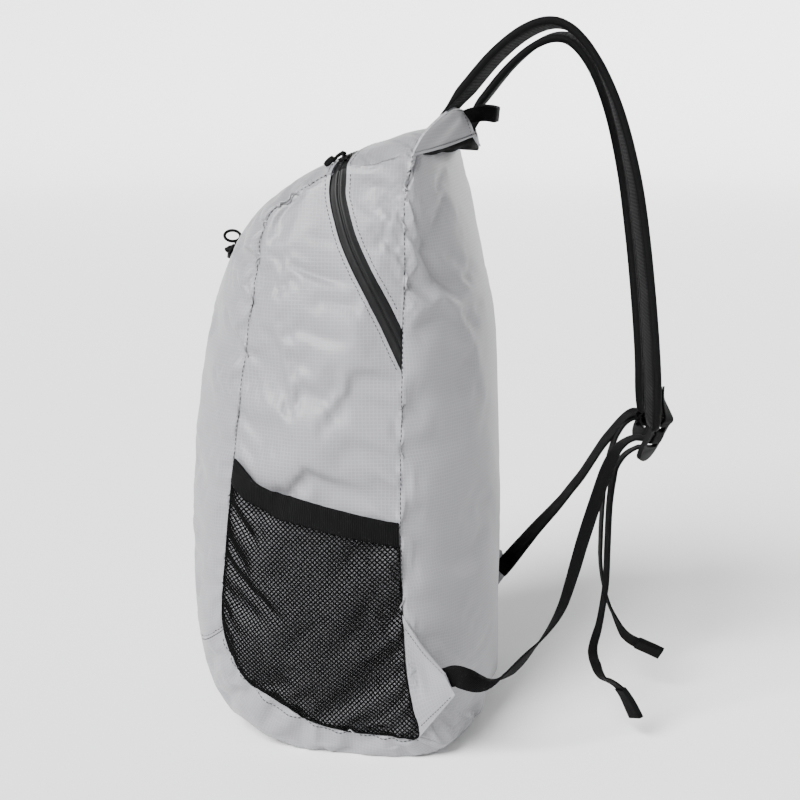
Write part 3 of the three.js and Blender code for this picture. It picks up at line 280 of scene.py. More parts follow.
# %% Folds and the two surfaces
fold_rows = np.array([
    # row, side, depth, width, reach
    [10.75, 1, -3.2, 8, 0.30], [10.35, 1, 2.4, 7, 0.34], [9.95, 1, -3.4, 6, 0.30], [9.60, 1, 2.6, 6, 0.34],
    [9.30, 1, -3.8, 6, 0.34], [9.00, 1, 2.2, 6, 0.30], [8.72, 1, -3.0, 6, 0.34], [8.40, 1, 1.8, 7, 0.30],
    [8.10, 1, -3.0, 7, 0.40], [7.75, 1, 1.6, 7, 0.30], [7.45, 1, -3.0, 8, 0.36], [7.05, 1, -1.8, 7, 0.26],
    [6.60, 1, -2.0, 8, 0.30], [6.10, 1, -1.6, 8, 0.25], [5.60, 1, -1.6, 8, 0.25],
    [10.40, -1, -3.0, 8, 0.36], [9.50, -1, -3.0, 8, 0.36], [8.60, -1, -2.8, 9, 0.40], [7.90, -1, -3.2, 9, 0.38],
    [7.30, -1, -2.2, 8, 0.30], [6.60, -1, -2.6, 8, 0.34], [5.90, -1, -1.8, 8, 0.28],
    [14.55, 1, -3.6, 7, 0.60], [14.90, 1, 2.6, 7, 0.60], [15.25, 1, -3.6, 8, 0.55], [15.62, 1, 2.2, 8, 0.50],
    [16.05, 1, -2.8, 9, 0.45], [16.60, 1, -1.8, 9, 0.35], [17.25, 1, -2.0, 10, 0.30], [17.60, 1, -2.0, 9, 0.26],
    [18.10, 1, -1.6, 9, 0.26], [18.60, 1, -2.4, 10, 0.34], [18.85, 1, -1.8, 9, 0.34], [19.35, 1, -2.0, 8, 0.4],
    [14.85, -1, -3.6, 9, 0.60], [15.60, -1, -3.0, 10, 0.50], [16.40, -1, -2.2, 9, 0.40], [17.50, -1, -2.0, 10, 0.30],
    [18.50, -1, -2.4, 12, 0.30], [19.20, -1, -2.0, 9, 0.34],
    [4.60, 1, -1.6, 8, 0.5], [3.90, 1, -1.8, 9, 0.6], [3.20, 1, 1.4, 9, 0.5], [2.60, 1, -1.6, 10, 0.5],
    [1.60, 1, -1.4, 10, 0.4], [4.30, -1, -1.8, 9, 0.5], [3.30, -1, -1.6, 10, 0.5]])
fold_strength, hanging_slope, hanging_rows = 1.35, 80.0, (14.5, 15.7)


def smooth_step(low, high, value):
    share = np.clip((value - low) / (high - low), 0, 1)
    return share * share * (3 - 2 * share)


def fold_at(place, across):
    depth = np.zeros(np.broadcast(place, across).shape)
    for start, side, deep, width, reach in fold_rows:
        low = loop_at(np.floor(start))[0]
        span = np.linalg.norm(loop_at(np.floor(start) + 1)[0] - low)
        along = ((place - start + row_count / 2) % row_count - row_count / 2) * span
        from_seam = 1 - across * side
        fade = smooth_step(0, 0.07, from_seam) * (1 - smooth_step(reach * 0.4, reach * 1.6, from_seam))
        # The folds below the yoke hang down steeply from its corner
        slope = hanging_slope if hanging_rows[0] < start < hanging_rows[1] else width
        depth += fold_strength * deep * fade * np.exp(-((along - from_seam * slope) / width) ** 2)
    return depth


def strip_point(place, across, folded=True):
    place, across = np.broadcast_arrays(np.asarray(place, float), np.asarray(across, float))
    seam, crown, half, square = loop_at(place)
    outwards = crown - seam
    depth = np.linalg.norm(outwards, axis=-1)
    edge = np.arccos((seam_gap / depth) ** (1 / (2 * crown_fullness)))
    angle = across * edge
    sine = np.sin(angle)
    x = half * np.sign(sine) * np.abs(sine) ** (2 / square)
    rise = np.cos(angle) ** (2 * crown_fullness)
    if folded:
        rise = rise + fold_at(place, across) / depth
    flat = seam + outwards * rise[..., None]
    return np.stack([x, flat[..., 0], np.maximum(0.4, flat[..., 1])], axis=-1)


def smooth_curve(points, per_span=24):
    points = np.asarray(points, float)
    ends = np.vstack([2 * points[0] - points[1], points, 2 * points[-1] - points[-2]])
    f = np.linspace(0, 1, per_span, endpoint=False)[:, None]
    spans = [catmull(ends[k], ends[k + 1], ends[k + 2], ends[k + 3], f) for k in range(len(points) - 1)]
    return np.vstack([*spans, points[-1:]])


zip_middle = smooth_curve(np.array([[-0.086, 0.951], [-0.086, 0.914], [-0.071, 0.884], [-0.047, 0.847], [-0.005, 0.802],
                                    [0.043, 0.757], [0.088, 0.710], [0.132, 0.660]]) * [body_depth, body_height])


def side_x(share, half):
    crown = seam_half_width + side_bulge
    return crown - (crown - half) * np.minimum(1, share) ** side_fullness


print("folds:", len(fold_rows))

# %% [markdown]
# ## Swelling the cloth
# The listed folds alone look carved. So the whole body is made once as a closed net of quads and
# run as cloth: its seams are held, the cloth between them grows by a few per cent, and a light
# pressure stands in for the filling. Only the small wrinkles are kept from the result. The broad swelling
# is taken away again, so the pack keeps its measured outline.

# %% The closed body for the simulation
strip_steps, side_steps, across_steps = 70, 24, 44
stations = np.concatenate([
    np.linspace(4, 12, strip_steps, endpoint=False), np.linspace(12, 14, side_steps, endpoint=False),
    np.linspace(14, 21, strip_steps, endpoint=False), np.linspace(21, 25, side_steps, endpoint=False)])
shares_across = np.linspace(-1, 1, across_steps + 1)
strip_rest = strip_point(stations[:, None], shares_across[None, :])


def run_length(points):
    return np.concatenate([[0], np.cumsum(np.linalg.norm(np.diff(points, axis=0), axis=1))])


def polyline_at(points, shares):
    points = np.asarray(points, float)
    lengths = run_length(points)
    wanted = np.clip(shares, 0, 1) * lengths[-1]
    return np.stack([np.interp(wanted, lengths, points[:, k]) for k in range(points.shape[1])], axis=-1)


def coons(left, right, lower, upper):
    """A patch between four lines: left and right run along v, lower and upper along u."""
    v = np.linspace(0, 1, len(left))[:, None, None]
    u = np.linspace(0, 1, len(lower))[None, :, None]
    sides = left[:, None] * (1 - u) + right[:, None] * u
    ends = lower[None, :] * (1 - v) + upper[None, :] * v
    corners = (left[0] * (1 - u) + right[0] * u) * (1 - v) + (left[-1] * (1 - u) + right[-1] * u) * v
    return sides + ends - corners


seam_line = loop_at(stations)[0]
side_left = seam_line[:strip_steps + 1]
side_upper = seam_line[strip_steps:strip_steps + side_steps + 1]
side_right = seam_line[strip_steps + side_steps:2 * strip_steps + side_steps + 1][::-1]
side_lower = np.vstack([seam_line[2 * strip_steps + side_steps:], seam_line[:1]])[::-1]
side_flat = coons(side_left, side_right, side_lower, side_upper)
seam_samples = loop_at(np.linspace(0, row_count, 960, endpoint=False))
seam_angle = np.arctan2(seam_samples[0][:, 1] - body_centre[2], seam_samples[0][:, 0] - body_centre[1])
seam_radius = np.hypot(seam_samples[0][:, 1] - body_centre[2], seam_samples[0][:, 0] - body_centre[1])
angle_order = np.argsort(seam_angle)


def side_place(flat, side):
    dy, dz = flat[..., 0] - body_centre[1], flat[..., 1] - body_centre[2]
    angle = np.arctan2(dz, dy)
    table = (seam_angle[angle_order], 2 * math.pi)
    radius = np.interp(angle, table[0], seam_radius[angle_order], period=table[1])
    half = np.interp(angle, table[0], seam_samples[2][angle_order], period=table[1])
    x = side_x(np.hypot(dy, dz) / radius, half)
    return np.stack([side * x, flat[..., 0], flat[..., 1]], axis=-1)


sides_rest = {side: side_place(side_flat, side) for side in (1, -1)}
print("strip net:", strip_rest.shape[:2], "side net:", side_flat.shape[:2])

# %% Join the nets into one shell
def mesh_piece(name, points, faces):
    """A mesh object with its points at places in millimetres."""
    mesh = bpy.data.meshes.new(name)
    mesh.from_pydata((points * MM).tolist(), [], faces)
    return linked(name, mesh)


def select_only(piece):
    bpy.ops.object.select_all(action="DESELECT")
    bpy.context.view_layer.objects.active = piece
    piece.select_set(True)


def face_outwards(piece, merge_mm=0):
    """Merges points that meet, if asked, and turns all faces outwards."""
    select_only(piece)
    bpy.ops.object.mode_set(mode="EDIT")
    bpy.ops.mesh.select_all(action="SELECT")
    if merge_mm:
        bpy.ops.mesh.remove_doubles(threshold=merge_mm * MM)
    bpy.ops.mesh.normals_make_consistent(inside=False)
    bpy.ops.object.mode_set(mode="OBJECT")


station_count = len(stations)
strip_index = np.arange(station_count * (across_steps + 1)).reshape(station_count, across_steps + 1)
shell_points = [strip_rest.reshape(-1, 3)]
side_index = {}
next_index = strip_index.size
for side in (1, -1):
    column = across_steps if side > 0 else 0
    index = np.full(side_flat.shape[:2], -1)
    ring = strip_index[:, column]
    index[:, 0] = ring[:strip_steps + 1]
    index[-1, :] = ring[strip_steps:strip_steps + side_steps + 1]
    index[:, -1] = ring[strip_steps + side_steps:2 * strip_steps + side_steps + 1][::-1]
    index[0, :] = np.concatenate([ring[2 * strip_steps + side_steps:], ring[:1]])[::-1]
    free = index < 0
    index[free] = next_index + np.arange(free.sum())
    next_index += free.sum()
    shell_points.append(sides_rest[side][free])
    side_index[side] = index
shell_points = np.vstack(shell_points)
shell_faces = []
closed_strip = np.vstack([strip_index, strip_index[:1]])
for net, turned in ((closed_strip, False), (side_index[1], False), (side_index[-1], True)):
    quads = np.stack([net[:-1, :-1], net[1:, :-1], net[1:, 1:], net[:-1, 1:]], axis=-1).reshape(-1, 4)
    shell_faces += (quads[:, ::-1] if turned else quads).tolist()
shell = mesh_piece("body_shell", shell_points, shell_faces)
face_outwards(shell)
print("shell points:", len(shell_points))

# %% Run the cloth
held = sorted(set(strip_index[:, 0].tolist()) | set(strip_index[:, -1].tolist())
              | set(np.flatnonzero(shell_points[:, 2] < 1.5).tolist()))
held_group = shell.vertex_groups.new(name="held")
held_group.add([int(k) for k in held], 1.0, "REPLACE")


def read_array(items, name, width=3, kind=float):
    """A value of all a mesh's points, edges, corners or faces, one row for each."""
    values = np.empty(len(items) * width, kind)
    items.foreach_get(name, values)
    return values.reshape(-1, width)


def neighbour_mean(values, edges, count):
    total = np.zeros_like(values)
    np.add.at(total, edges[:, 0], values[edges[:, 1]])
    np.add.at(total, edges[:, 1], values[edges[:, 0]])
    return total / count[:, None]


def simulate_shell(growth=-0.045, pressure=3.0, last_frame=22):
    cloth = shell.modifiers.new("cloth", "CLOTH")
    settings = cloth.settings
    settings.quality = 6
    settings.mass = 0.12
    settings.tension_stiffness = settings.compression_stiffness = 14
    settings.shear_stiffness = 4
    settings.bending_stiffness = 0.04
    settings.vertex_group_mass = "held"
    settings.shrink_min = growth
    settings.use_pressure = True
    settings.uniform_pressure_force = pressure
    settings.effector_weights.gravity = 0
    cloth.collision_settings.use_collision = False
    cloth.point_cache.frame_start = 1
    cloth.point_cache.frame_end = last_frame
    for step in range(1, last_frame + 1):
        bpy.context.scene.frame_set(step)
    bpy.ops.object.modifier_apply(modifier="cloth")
    bpy.context.scene.frame_set(1)


wrinkles = np.zeros_like(shell_points)
broad_passes, wrinkle_cap = 70, 4.5
simulate_shell()
moved = read_array(shell.data.vertices, "co") / MM - shell_points
edges = read_array(shell.data.edges, "vertices", 2, int)
edge_count = np.bincount(edges.ravel(), minlength=len(shell_points)).astype(float)
broad = moved.copy()
for _ in range(broad_passes):
    broad = 0.4 * broad + 0.6 * neighbour_mean(broad, edges, edge_count)
wrinkles = moved - broad
size = np.linalg.norm(wrinkles, axis=1, keepdims=True)
wrinkles *= wrinkle_cap * np.tanh(size / wrinkle_cap) / np.maximum(size, 1e-6)
# The zip's tape keeps the cloth beside it flatter
zip_line = np.vstack([[[s * x, *zip_middle[0]] for s in (1, -1) for x in np.linspace(0, 98, 50)],
                      *[[[s * 115, *at] for at in zip_middle[::4]] for s in (1, -1)]])
from_zip = np.linalg.norm((shell_points[:, None] - zip_line[None]) * [0.6, 1, 1], axis=-1).min(axis=1)
wrinkles *= 0.1 + 0.9 * smooth_step(5, 24, from_zip)[:, None]
print("swelling mm:", round(float(np.abs(moved).max()), 1), "wrinkles mm:", round(float(size.max()), 1))
shell_final = shell_points + wrinkles
shell_final[:, 2] = np.maximum(shell_final[:, 2], 0.3)
strip_final = shell_final[strip_index]
sides_final = {side: shell_final[side_index[side]] for side in (1, -1)}
bpy.data.objects.remove(shell)

# %% [markdown]
# Later steps ask where the cloth is. Two functions answer: one for the strip between the side seams, by
# row and share across, and one for the side panels, by a point of the side view.

# %% Places on the cloth
def sample_net(net, i, j, wrap):
    i, j = np.broadcast_arrays(np.asarray(i, float), np.asarray(j, float))
    rows, columns = net.shape[:2]
    i0 = np.floor(i).astype(int)
    j0 = np.clip(np.floor(j).astype(int), 0, columns - 2)
    if not wrap:
        i0 = np.clip(i0, 0, rows - 2)
    fi, fj = (i - i0)[..., None], (j - j0)[..., None]

    def line(k):
        row = (i0 + k) % rows if wrap else np.clip(i0 + k, 0, rows - 1)
        return catmull(*[net[row, np.clip(j0 + m, 0, columns - 1)] for m in (-1, 0, 1, 2)], fj)
    return catmull(*[line(k) for k in (-1, 0, 1, 2)], fi)


def on_strip(place, across):
    place = (np.asarray(place, float) - 4) % row_count + 4
    index = np.interp(place, np.append(stations, 4 + row_count), np.arange(station_count + 1))
    return sample_net(strip_final, index, (np.asarray(across, float) + 1) / 2 * across_steps, True)


flat_points = [Vector((p[0], p[1], 0)) for p in side_flat.reshape(-1, 2)]
flat_index = np.arange(len(flat_points)).reshape(side_flat.shape[:2])
flat_faces = []
for a, b, c, d in zip(flat_index[:-1, :-1].ravel(), flat_index[1:, :-1].ravel(),
                      flat_index[1:, 1:].ravel(), flat_index[:-1, 1:].ravel()):
    flat_faces += [(int(a), int(b), int(c)), (int(a), int(c), int(d))]
flat_tree = BVHTree.FromPolygons(flat_points, flat_faces)
flat_param = [Vector((k // side_flat.shape[1], k % side_flat.shape[1], 0)) for k in range(len(flat_points))]


def on_side(flat, side, proud=0.0):
    """Places on a side panel over (y, z) points of the side view, moved outwards by proud."""
    flat = np.asarray(flat, float)
    params = []
    for y, z in flat.reshape(-1, 2):
        spot, _, face, _ = flat_tree.find_nearest(Vector((y, z, 0)))
        corners = [flat_points[k] for k in flat_faces[face]]
        params.append(barycentric_transform(spot, *corners, *[flat_param[k] for k in flat_faces[face]])[:2])
    params = np.array(params)
    points = sample_net(sides_final[side], params[:, 0], params[:, 1], False).reshape(*flat.shape[:-1], 3)
    points[..., 0] += side * np.asarray(proud)
    return points


print("side panel's middle, mm:", np.round(on_side([[-35, 200]], 1)[0], 1))

# %% [markdown]
# ## Cloth panels
# Each panel starts as a flat grid, added at the world's centre, and its points are then laid on the cloth.
# A last row is turned in along each seam, as the seam allowance is. That closes the slit between two panels
# and makes the soft groove that a sewn seam has. Solidify gives the cloth its thickness.

# %% Panel helpers
def unit(vectors):
    return vectors / np.maximum(np.linalg.norm(vectors, axis=-1, keepdims=True), 1e-9)


def surface_normals(points, centre=None):
    normal = unit(np.cross(np.gradient(points, axis=0), np.gradient(points, axis=1)))
    outward = points - (body_centre if centre is None else centre)
    middle = np.sum(normal * outward, axis=-1).mean()
    return normal if middle > 0 else -normal


def tucked(points, borders, depth=2.2, roll=0.5):
    """Adds rows that turn the cloth inwards along the named borders."""
    normal = surface_normals(points)
    for border in borders:
        axis, last = {"start": (0, 0), "end": (0, 1), "left": (1, 0), "right": (1, 1)}[border]
        points, normal = (np.swapaxes(a, 0, axis) for a in (points, normal))
        edge, near, away = (points[-1], points[-2], normal[-1]) if last else (points[0], points[1], normal[0])
        outward = (edge - near) / np.maximum(np.linalg.norm(edge - near, axis=-1, keepdims=True), 1e-6)
        rows = [edge - away * roll, edge - away * depth - outward * 0.8]
        stack = np.stack(rows)
        stack_normal = np.stack([away, away])
        if last:
            points, normal = np.concatenate([points, stack]), np.concatenate([normal, stack_normal])
        else:
            points, normal = np.concatenate([stack[::-1], points]), np.concatenate([stack_normal, normal])
        points, normal = (np.swapaxes(a, 0, axis) for a in (points, normal))
    return points


def metre_uv(u, v):
    """UV places in metres from lengths in millimetres across and along a grid."""
    return np.stack(np.broadcast_arrays(u, v), axis=-1) * MM


def arc_uv(points):
    """A UV map in metres from lengths along the grid's middle line and across it."""
    rows, columns = points.shape[:2]
    v = run_length(points[:, columns // 2])
    steps = np.linalg.norm(np.diff(points, axis=1), axis=2)
    u = np.concatenate([np.zeros((rows, 1)), np.cumsum(steps, axis=1)], axis=1)
    u -= u[:, columns // 2][:, None]
    return metre_uv(u, v[:, None])


def laid_grid(name, points, uv, finish, centre=None, closed=False):
    """A grid primitive whose points are laid at (rows, columns, 3) places in millimetres."""
    rows, columns = points.shape[:2]
    bpy.ops.object.select_all(action="DESELECT")
    bpy.ops.mesh.primitive_grid_add(x_subdivisions=columns - 1, y_subdivisions=rows - 1, size=1)
    piece = bpy.context.object
    piece.name = piece.data.name = name
    mesh = piece.data
    mesh.vertices.foreach_set("co", (points.reshape(-1, 3) * MM).ravel())
    corners = read_array(mesh.loops, "vertex_index", 1, int)[:, 0]
    mesh.uv_layers.active.data.foreach_set("uv", uv.reshape(-1, 2)[corners].ravel())
    mesh.update()
    if not closed:
        middle = (body_centre if centre is None else np.asarray(centre, float)) * MM
        outward = read_array(mesh.polygons, "center") - middle
        if np.sum(read_array(mesh.polygons, "normal") * outward) < 0:
            mesh.flip_normals()
    mesh.materials.append(finish)
    return piece


def apply_modifier(piece, kind, **settings):
    select_only(piece)
    modifier = piece.modifiers.new(kind.lower(), kind)
    for name, value in settings.items():
        setattr(modifier, name, value)
    bpy.ops.object.modifier_apply(modifier=modifier.name)
    return piece


def finished(piece, nodes=(), smooth_angle=50):
    """Smooth shading, and the piece's place in the frame."""
    select_only(piece)
    bpy.ops.object.shade_smooth_by_angle(angle=math.radians(smooth_angle))
    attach(piece, "root")
    if nodes:
        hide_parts(*nodes)
    return piece


def cut_sheet(piece):
    """Returns the piece unchanged."""
    return piece


def cloth_piece(name, points, borders, nodes, thickness=0.7, uv=None, finish=None, centre=None):
    uv_points = arc_uv(points) if uv is None else uv
    laid = tucked(points, borders)
    if laid.shape != points.shape:
        before = [2 * ("start" in borders), 2 * ("left" in borders)]
        after = [2 * ("end" in borders), 2 * ("right" in borders)]
        uv_points = np.pad(uv_points, ((before[0], after[0]), (before[1], after[1]), (0, 0)), mode="edge")
    piece = laid_grid(name, laid, uv_points, finish or ripstop, centre)
    apply_modifier(piece, "SOLIDIFY", thickness=thickness * MM, offset=-1)
    return cut_sheet(finished(piece, nodes, 60))


print("panel helpers ready")

# %% [markdown]
# The front and back panels and the base strip are cut across the whole width. The zip's two edges cross
# the top at an even 11.5 mm, so the rows where they lie are found by measuring on the cloth.

# %% Front, back and base
zip_visible = 11.5
zip_half = zip_visible / 2


def zip_edge_row(across, offset):
    """The row that lies offset mm from the zip's middle, + towards the back."""
    step = 0.2 * np.sign(offset)
    span = np.linalg.norm(strip_point(zip_row + step, across, False) - strip_point(zip_row, across, False), axis=-1)
    return zip_row + step * np.abs(offset) / span


def strip_grid(rows_from, rows_to, steps, across):
    shares = np.linspace(0, 1, steps + 1)[:, None]
    places = rows_from * (1 - shares) + rows_to * shares
    return on_strip(places, np.broadcast_to(across, places.shape))


across_fine = np.sin(np.linspace(-1, 1, 101) * 1.15) / math.sin(1.15)
front_points = strip_grid(front_low + 0.005, zip_edge_row(across_fine, -zip_half)[None, :], 130, across_fine[None, :])
front_panel = cloth_piece("front_panel_cloth", front_points, ["start", "end", "left", "right"], ["front_panel"])
back_points = strip_grid(top_back + 0.004, np.full((1, len(across_fine)), 20.995), 150, across_fine[None, :])
back_panel = cloth_piece("back_panel_cloth", back_points, ["start", "end", "left", "right"], ["back_panel"])
base_end = np.full((1, len(across_fine)), front_low - 0.005 + row_count)
base_points = strip_grid(base_back + 0.005 + row_count, base_end, 90, across_fine[None, :])
base_panel = cloth_piece("base_strip_cloth", base_points, ["start", "end", "left", "right"], ["base_panel"])
print("panel faces:", [len(p.data.polygons) for p in (front_panel, back_panel, base_panel)])

# %% [markdown]
# The side panels and the pointed ends of the top panel are cut by the zip, which curves down from the
# top to the back seam. Its middle line is a curve in the side view, and each edge lies half a zip away.

# %% Zip lines in the side view
zip_overrun = 24
zip_tangent = unit(np.gradient(zip_middle, axis=0))
zip_aside = np.stack([-zip_tangent[:, 1], zip_tangent[:, 0]], axis=-1)


def beside_zip(offset):
    return zip_middle + zip_aside * offset


def back_seam_y(z):
    rows = np.linspace(top_back, row_count, 400)
    seam = loop_at(rows)[0]
    return np.interp(z, seam[::-1, 1], seam[::-1, 0])


def clipped_zip(offset, margin):
    """The line beside the zip from the top down to a margin before the back seam."""
    line = beside_zip(offset)
    onward = (line[-1] - line[-3]) / np.linalg.norm(line[-1] - line[-3])
    line = np.vstack([line, line[-1] + onward * np.arange(1, zip_overrun + 1)[:, None]])
    keep = line[:, 0] < back_seam_y(line[:, 1]) - margin
    return line[:max(2, int(np.argmin(keep)) if not keep.all() else len(line))]


def zip_foot_row(offset):
    """The row where a line beside the zip meets the back seam."""
    rows = np.linspace(top_back, row_count, 400)
    return float(np.interp(-clipped_zip(offset, 0.0)[-1, 1], -loop_at(rows)[0][:, 1], rows))


def zip_edge_line(offset, foot_row):
    seam_row = float(zip_edge_row(np.array([1.0]), offset)[0])
    top = loop_at(seam_row)[0]
    foot = loop_at(foot_row)[0] - [seam_gap, 0]
    body = clipped_zip(offset, 4.0)
    body = body[body[:, 1] < top[1] - 5]
    return smooth_curve(polyline_at(np.vstack([top, body, foot]), np.linspace(0, 1, 14)), 8)


front_foot, back_foot = zip_foot_row(-zip_half), zip_foot_row(zip_half)
front_edge = zip_edge_line(-zip_half, front_foot)
back_edge = zip_edge_line(zip_half, back_foot)
print("zip edges end at heights, mm:", round(front_edge[-1, 1]), round(back_edge[-1, 1]))

# %% Side panels and top panel
def seam_between(start, end, count=80):
    return loop_at(np.linspace(start, end, count))[0]


def inset_flat(flat, distance):
    inward = body_centre[1:] - flat
    return flat + inward / np.linalg.norm(inward, axis=-1, keepdims=True) * distance


seam_top_front = float(zip_edge_row(np.array([1.0]), -zip_half)[0])
seam_top_back = float(zip_edge_row(np.array([1.0]), zip_half)[0])
v_steps, u_steps = 150, 60
side_shares_v, side_shares_u = np.linspace(0, 1, v_steps + 1), np.linspace(0, 1, u_steps + 1)
panel_left = polyline_at(seam_between(4, seam_top_front), side_shares_v)
panel_right = polyline_at(np.vstack([seam_between(row_count, front_foot)[:-1], front_edge[::-1]]), side_shares_v)
panel_lower = polyline_at(seam_between(4, 0), side_shares_u)
panel_upper = panel_left[-1] * (1 - side_shares_u[:, None]) + panel_right[-1] * side_shares_u[:, None]
side_cut = inset_flat(coons(panel_left, panel_right, panel_lower, panel_upper), 0.25)
side_names = {1: "right", -1: "left"}
for side, word in side_names.items():
    points = on_side(side_cut, side)
    cloth_piece(f"side_panel_{word}_cloth", points, ["start", "end", "left", "right"], [f"side_panel_{word}"],
                uv=side_cut * MM)

top_side_steps, top_rows = 60, 24
row_shares = np.linspace(0, 1, top_rows + 1)
zip_side = polyline_at(back_edge[::-1], np.linspace(0, 1, top_side_steps + 1))
seam_side = polyline_at(seam_between(back_foot, top_back), np.linspace(0, 1, top_side_steps + 1)) - [0.3, 0]
foot_line = zip_side[0] * (1 - row_shares[:, None]) + seam_side[0] * row_shares[:, None]
head_line = polyline_at(seam_between(seam_top_back, top_back), row_shares)
top_side = coons(zip_side, seam_side, foot_line, head_line)
top_across = across_fine[::-1][1:-1]
edge_rows = zip_edge_row(top_across, zip_half)
places = edge_rows[:, None] * (1 - row_shares[None, :]) + (top_back - 0.004) * row_shares[None, :]
top_strip = on_strip(places, np.broadcast_to(top_across[:, None], places.shape))
top_points = np.concatenate([on_side(top_side, 1), top_strip, on_side(top_side[::-1], -1)])
top_uv = np.concatenate([top_side * MM, arc_uv(np.swapaxes(top_strip, 0, 1)).swapaxes(0, 1), top_side[::-1] * MM])
cloth_piece("top_panel_cloth", top_points, ["left", "right"], ["top_panel"], uv=top_uv)
print("top panel net:", top_points.shape[:2])

# %% [markdown]
# ## Main zip
# A coil zip sewn in face down: what shows is its smooth coated tape, with a slit in the middle and a low
# ridge on each side where the coil lies behind it. It is one long strip that follows the cut of the panels,
# and lies a little under their folded edges.

# %% Main zip tape
zip_profile = np.array([  # offset across in mm, height in mm
    [-9.0, -0.9], [-6.2, -0.5], [-5.2, -0.25], [-3.4, -0.1], [-2.6, 0.25], [-1.6, 0.45], [-0.7, 0.3], [-0.25, -0.3],
    [0.25, -0.3], [0.7, 0.3], [1.6, 0.45], [2.6, 0.25], [3.4, -0.1], [5.2, -0.25], [6.2, -0.5], [9.0, -0.9]])
zip_sink = 1.5


def zip_surface(offsets, side_count=110):
    """Rows from the right foot over the top to the left foot, a column for each offset."""
    columns = []
    for offset in offsets:
        side_line = polyline_at(clipped_zip(offset, 0.2)[::-1], np.linspace(0, 1, side_count))
        rows = zip_edge_row(top_across, offset if offset else 0.01)
        top_line = on_strip(rows, top_across)
        columns.append(np.concatenate([on_side(side_line, 1), top_line, on_side(side_line[::-1], -1)]))
    return np.stack(columns, axis=1)


def smoothed(points, times=6):
    for _ in range(times):
        points = np.concatenate([points[:1], (points[:-2] + 2 * points[1:-1] + points[2:]) / 4, points[-1:]])
    return points


zip_points = smoothed(zip_surface(zip_profile[:, 0]), 30)
zip_normal = surface_normals(zip_points)
zip_middle_length = run_length(zip_points[:, 8])
zip_uv = metre_uv(zip_profile[None, :, 0], zip_middle_length[:, None])
zip_laid = zip_points + zip_normal * (zip_profile[None, :, 1:2] - zip_sink)
zip_tape = laid_grid("main_zip_coated_tape", zip_laid, zip_uv, coated_zip)
apply_modifier(zip_tape, "SOLIDIFY", thickness=1.0 * MM, offset=-1)
finished(zip_tape, ["main_zip_tape"], 50)
print("zip length mm:", round(zip_middle_length[-1]))

# %% [markdown]
# ## Net side pockets
# An open knitted net of small diamond holes, held a little away from the side panel by its stretched
# mouth. A picture of holes would look flat from the side, so the net is real geometry: a grid of
# diamonds, cut to the pocket's outline, whose edges become thin yarns with the Wireframe modifier.

# %% Pocket surface
pocket_mouth = np.array([[-0.405, 0.493], [-0.344, 0.470], [-0.253, 0.449], [-0.161, 0.437], [-0.042, 0.422],
                         [0.035, 0.412], [0.114, 0.404]]) * [body_depth, body_height]
binding_height, pocket_bulge = 17.5, 5.6


def front_seam_y(z):
    seam = loop_at(np.linspace(4, 11, 300))[0]
    return np.interp(z, seam[:, 1], seam[:, 0])


def pocket_line(drop):
    line = pocket_mouth - [0, drop]
    line[0, 0] = front_seam_y(line[0, 1])
    return smooth_curve(line)


def row_at_height(z, low, high):
    rows = np.linspace(low, high, 600)
    heights = loop_at(rows)[0][:, 1]
    return float(rows[np.argmin(np.abs(heights - z))])


net_top = pocket_line(binding_height - 1.0)
net_left = seam_between(4, row_at_height(net_top[0, 1], 4, 11), 60)
net_right = seam_between(row_count, row_at_height(net_top[-1, 1], 17.5, 20.9), 60)
net_lower = seam_between(4, 0, 60)
outline = np.vstack([net_left, net_top[1:], net_right[::-1][1:], net_lower[::-1][1:-1]])
net_outline = inset_flat(outline, 1.0)


def stand_off(flat):
    """How far the net stands off the panel: nothing at its sewn edges, most at the mouth."""
    gaps = np.min(np.linalg.norm(flat[:, None, :] - closed_edges[None], axis=-1), axis=1)
    share = np.clip(gaps / 42, 0, 1)
    soft = 0.55 * np.sin(flat[:, 0] / 9.0 + flat[:, 1] / 31) + 0.5 * np.sin(flat[:, 0] / 15 - flat[:, 1] / 23 + 1)
    return 1.0 + (pocket_bulge + soft) * np.sin(share * math.pi / 2) ** 0.8


closed_edges = polyline_at(np.vstack([net_left[::-1], net_lower[1:], net_right[1:]]), np.linspace(0, 1, 220))
print("net outline points:", len(net_outline))

# %% The net's diamonds
net_pitch = 2.3


def inside_outline(points, polygon):
    x, y = points[:, 0][:, None], points[:, 1][:, None]
    x0, y0 = polygon[:, 0][None], polygon[:, 1][None]
    x1, y1 = np.roll(polygon[:, 0], -1)[None], np.roll(polygon[:, 1], -1)[None]
    crosses = ((y0 > y) != (y1 > y)) & (x < (x1 - x0) * (y - y0) / np.where(y1 == y0, 1e-9, y1 - y0) + x0)
    return crosses.sum(axis=1) % 2 == 1


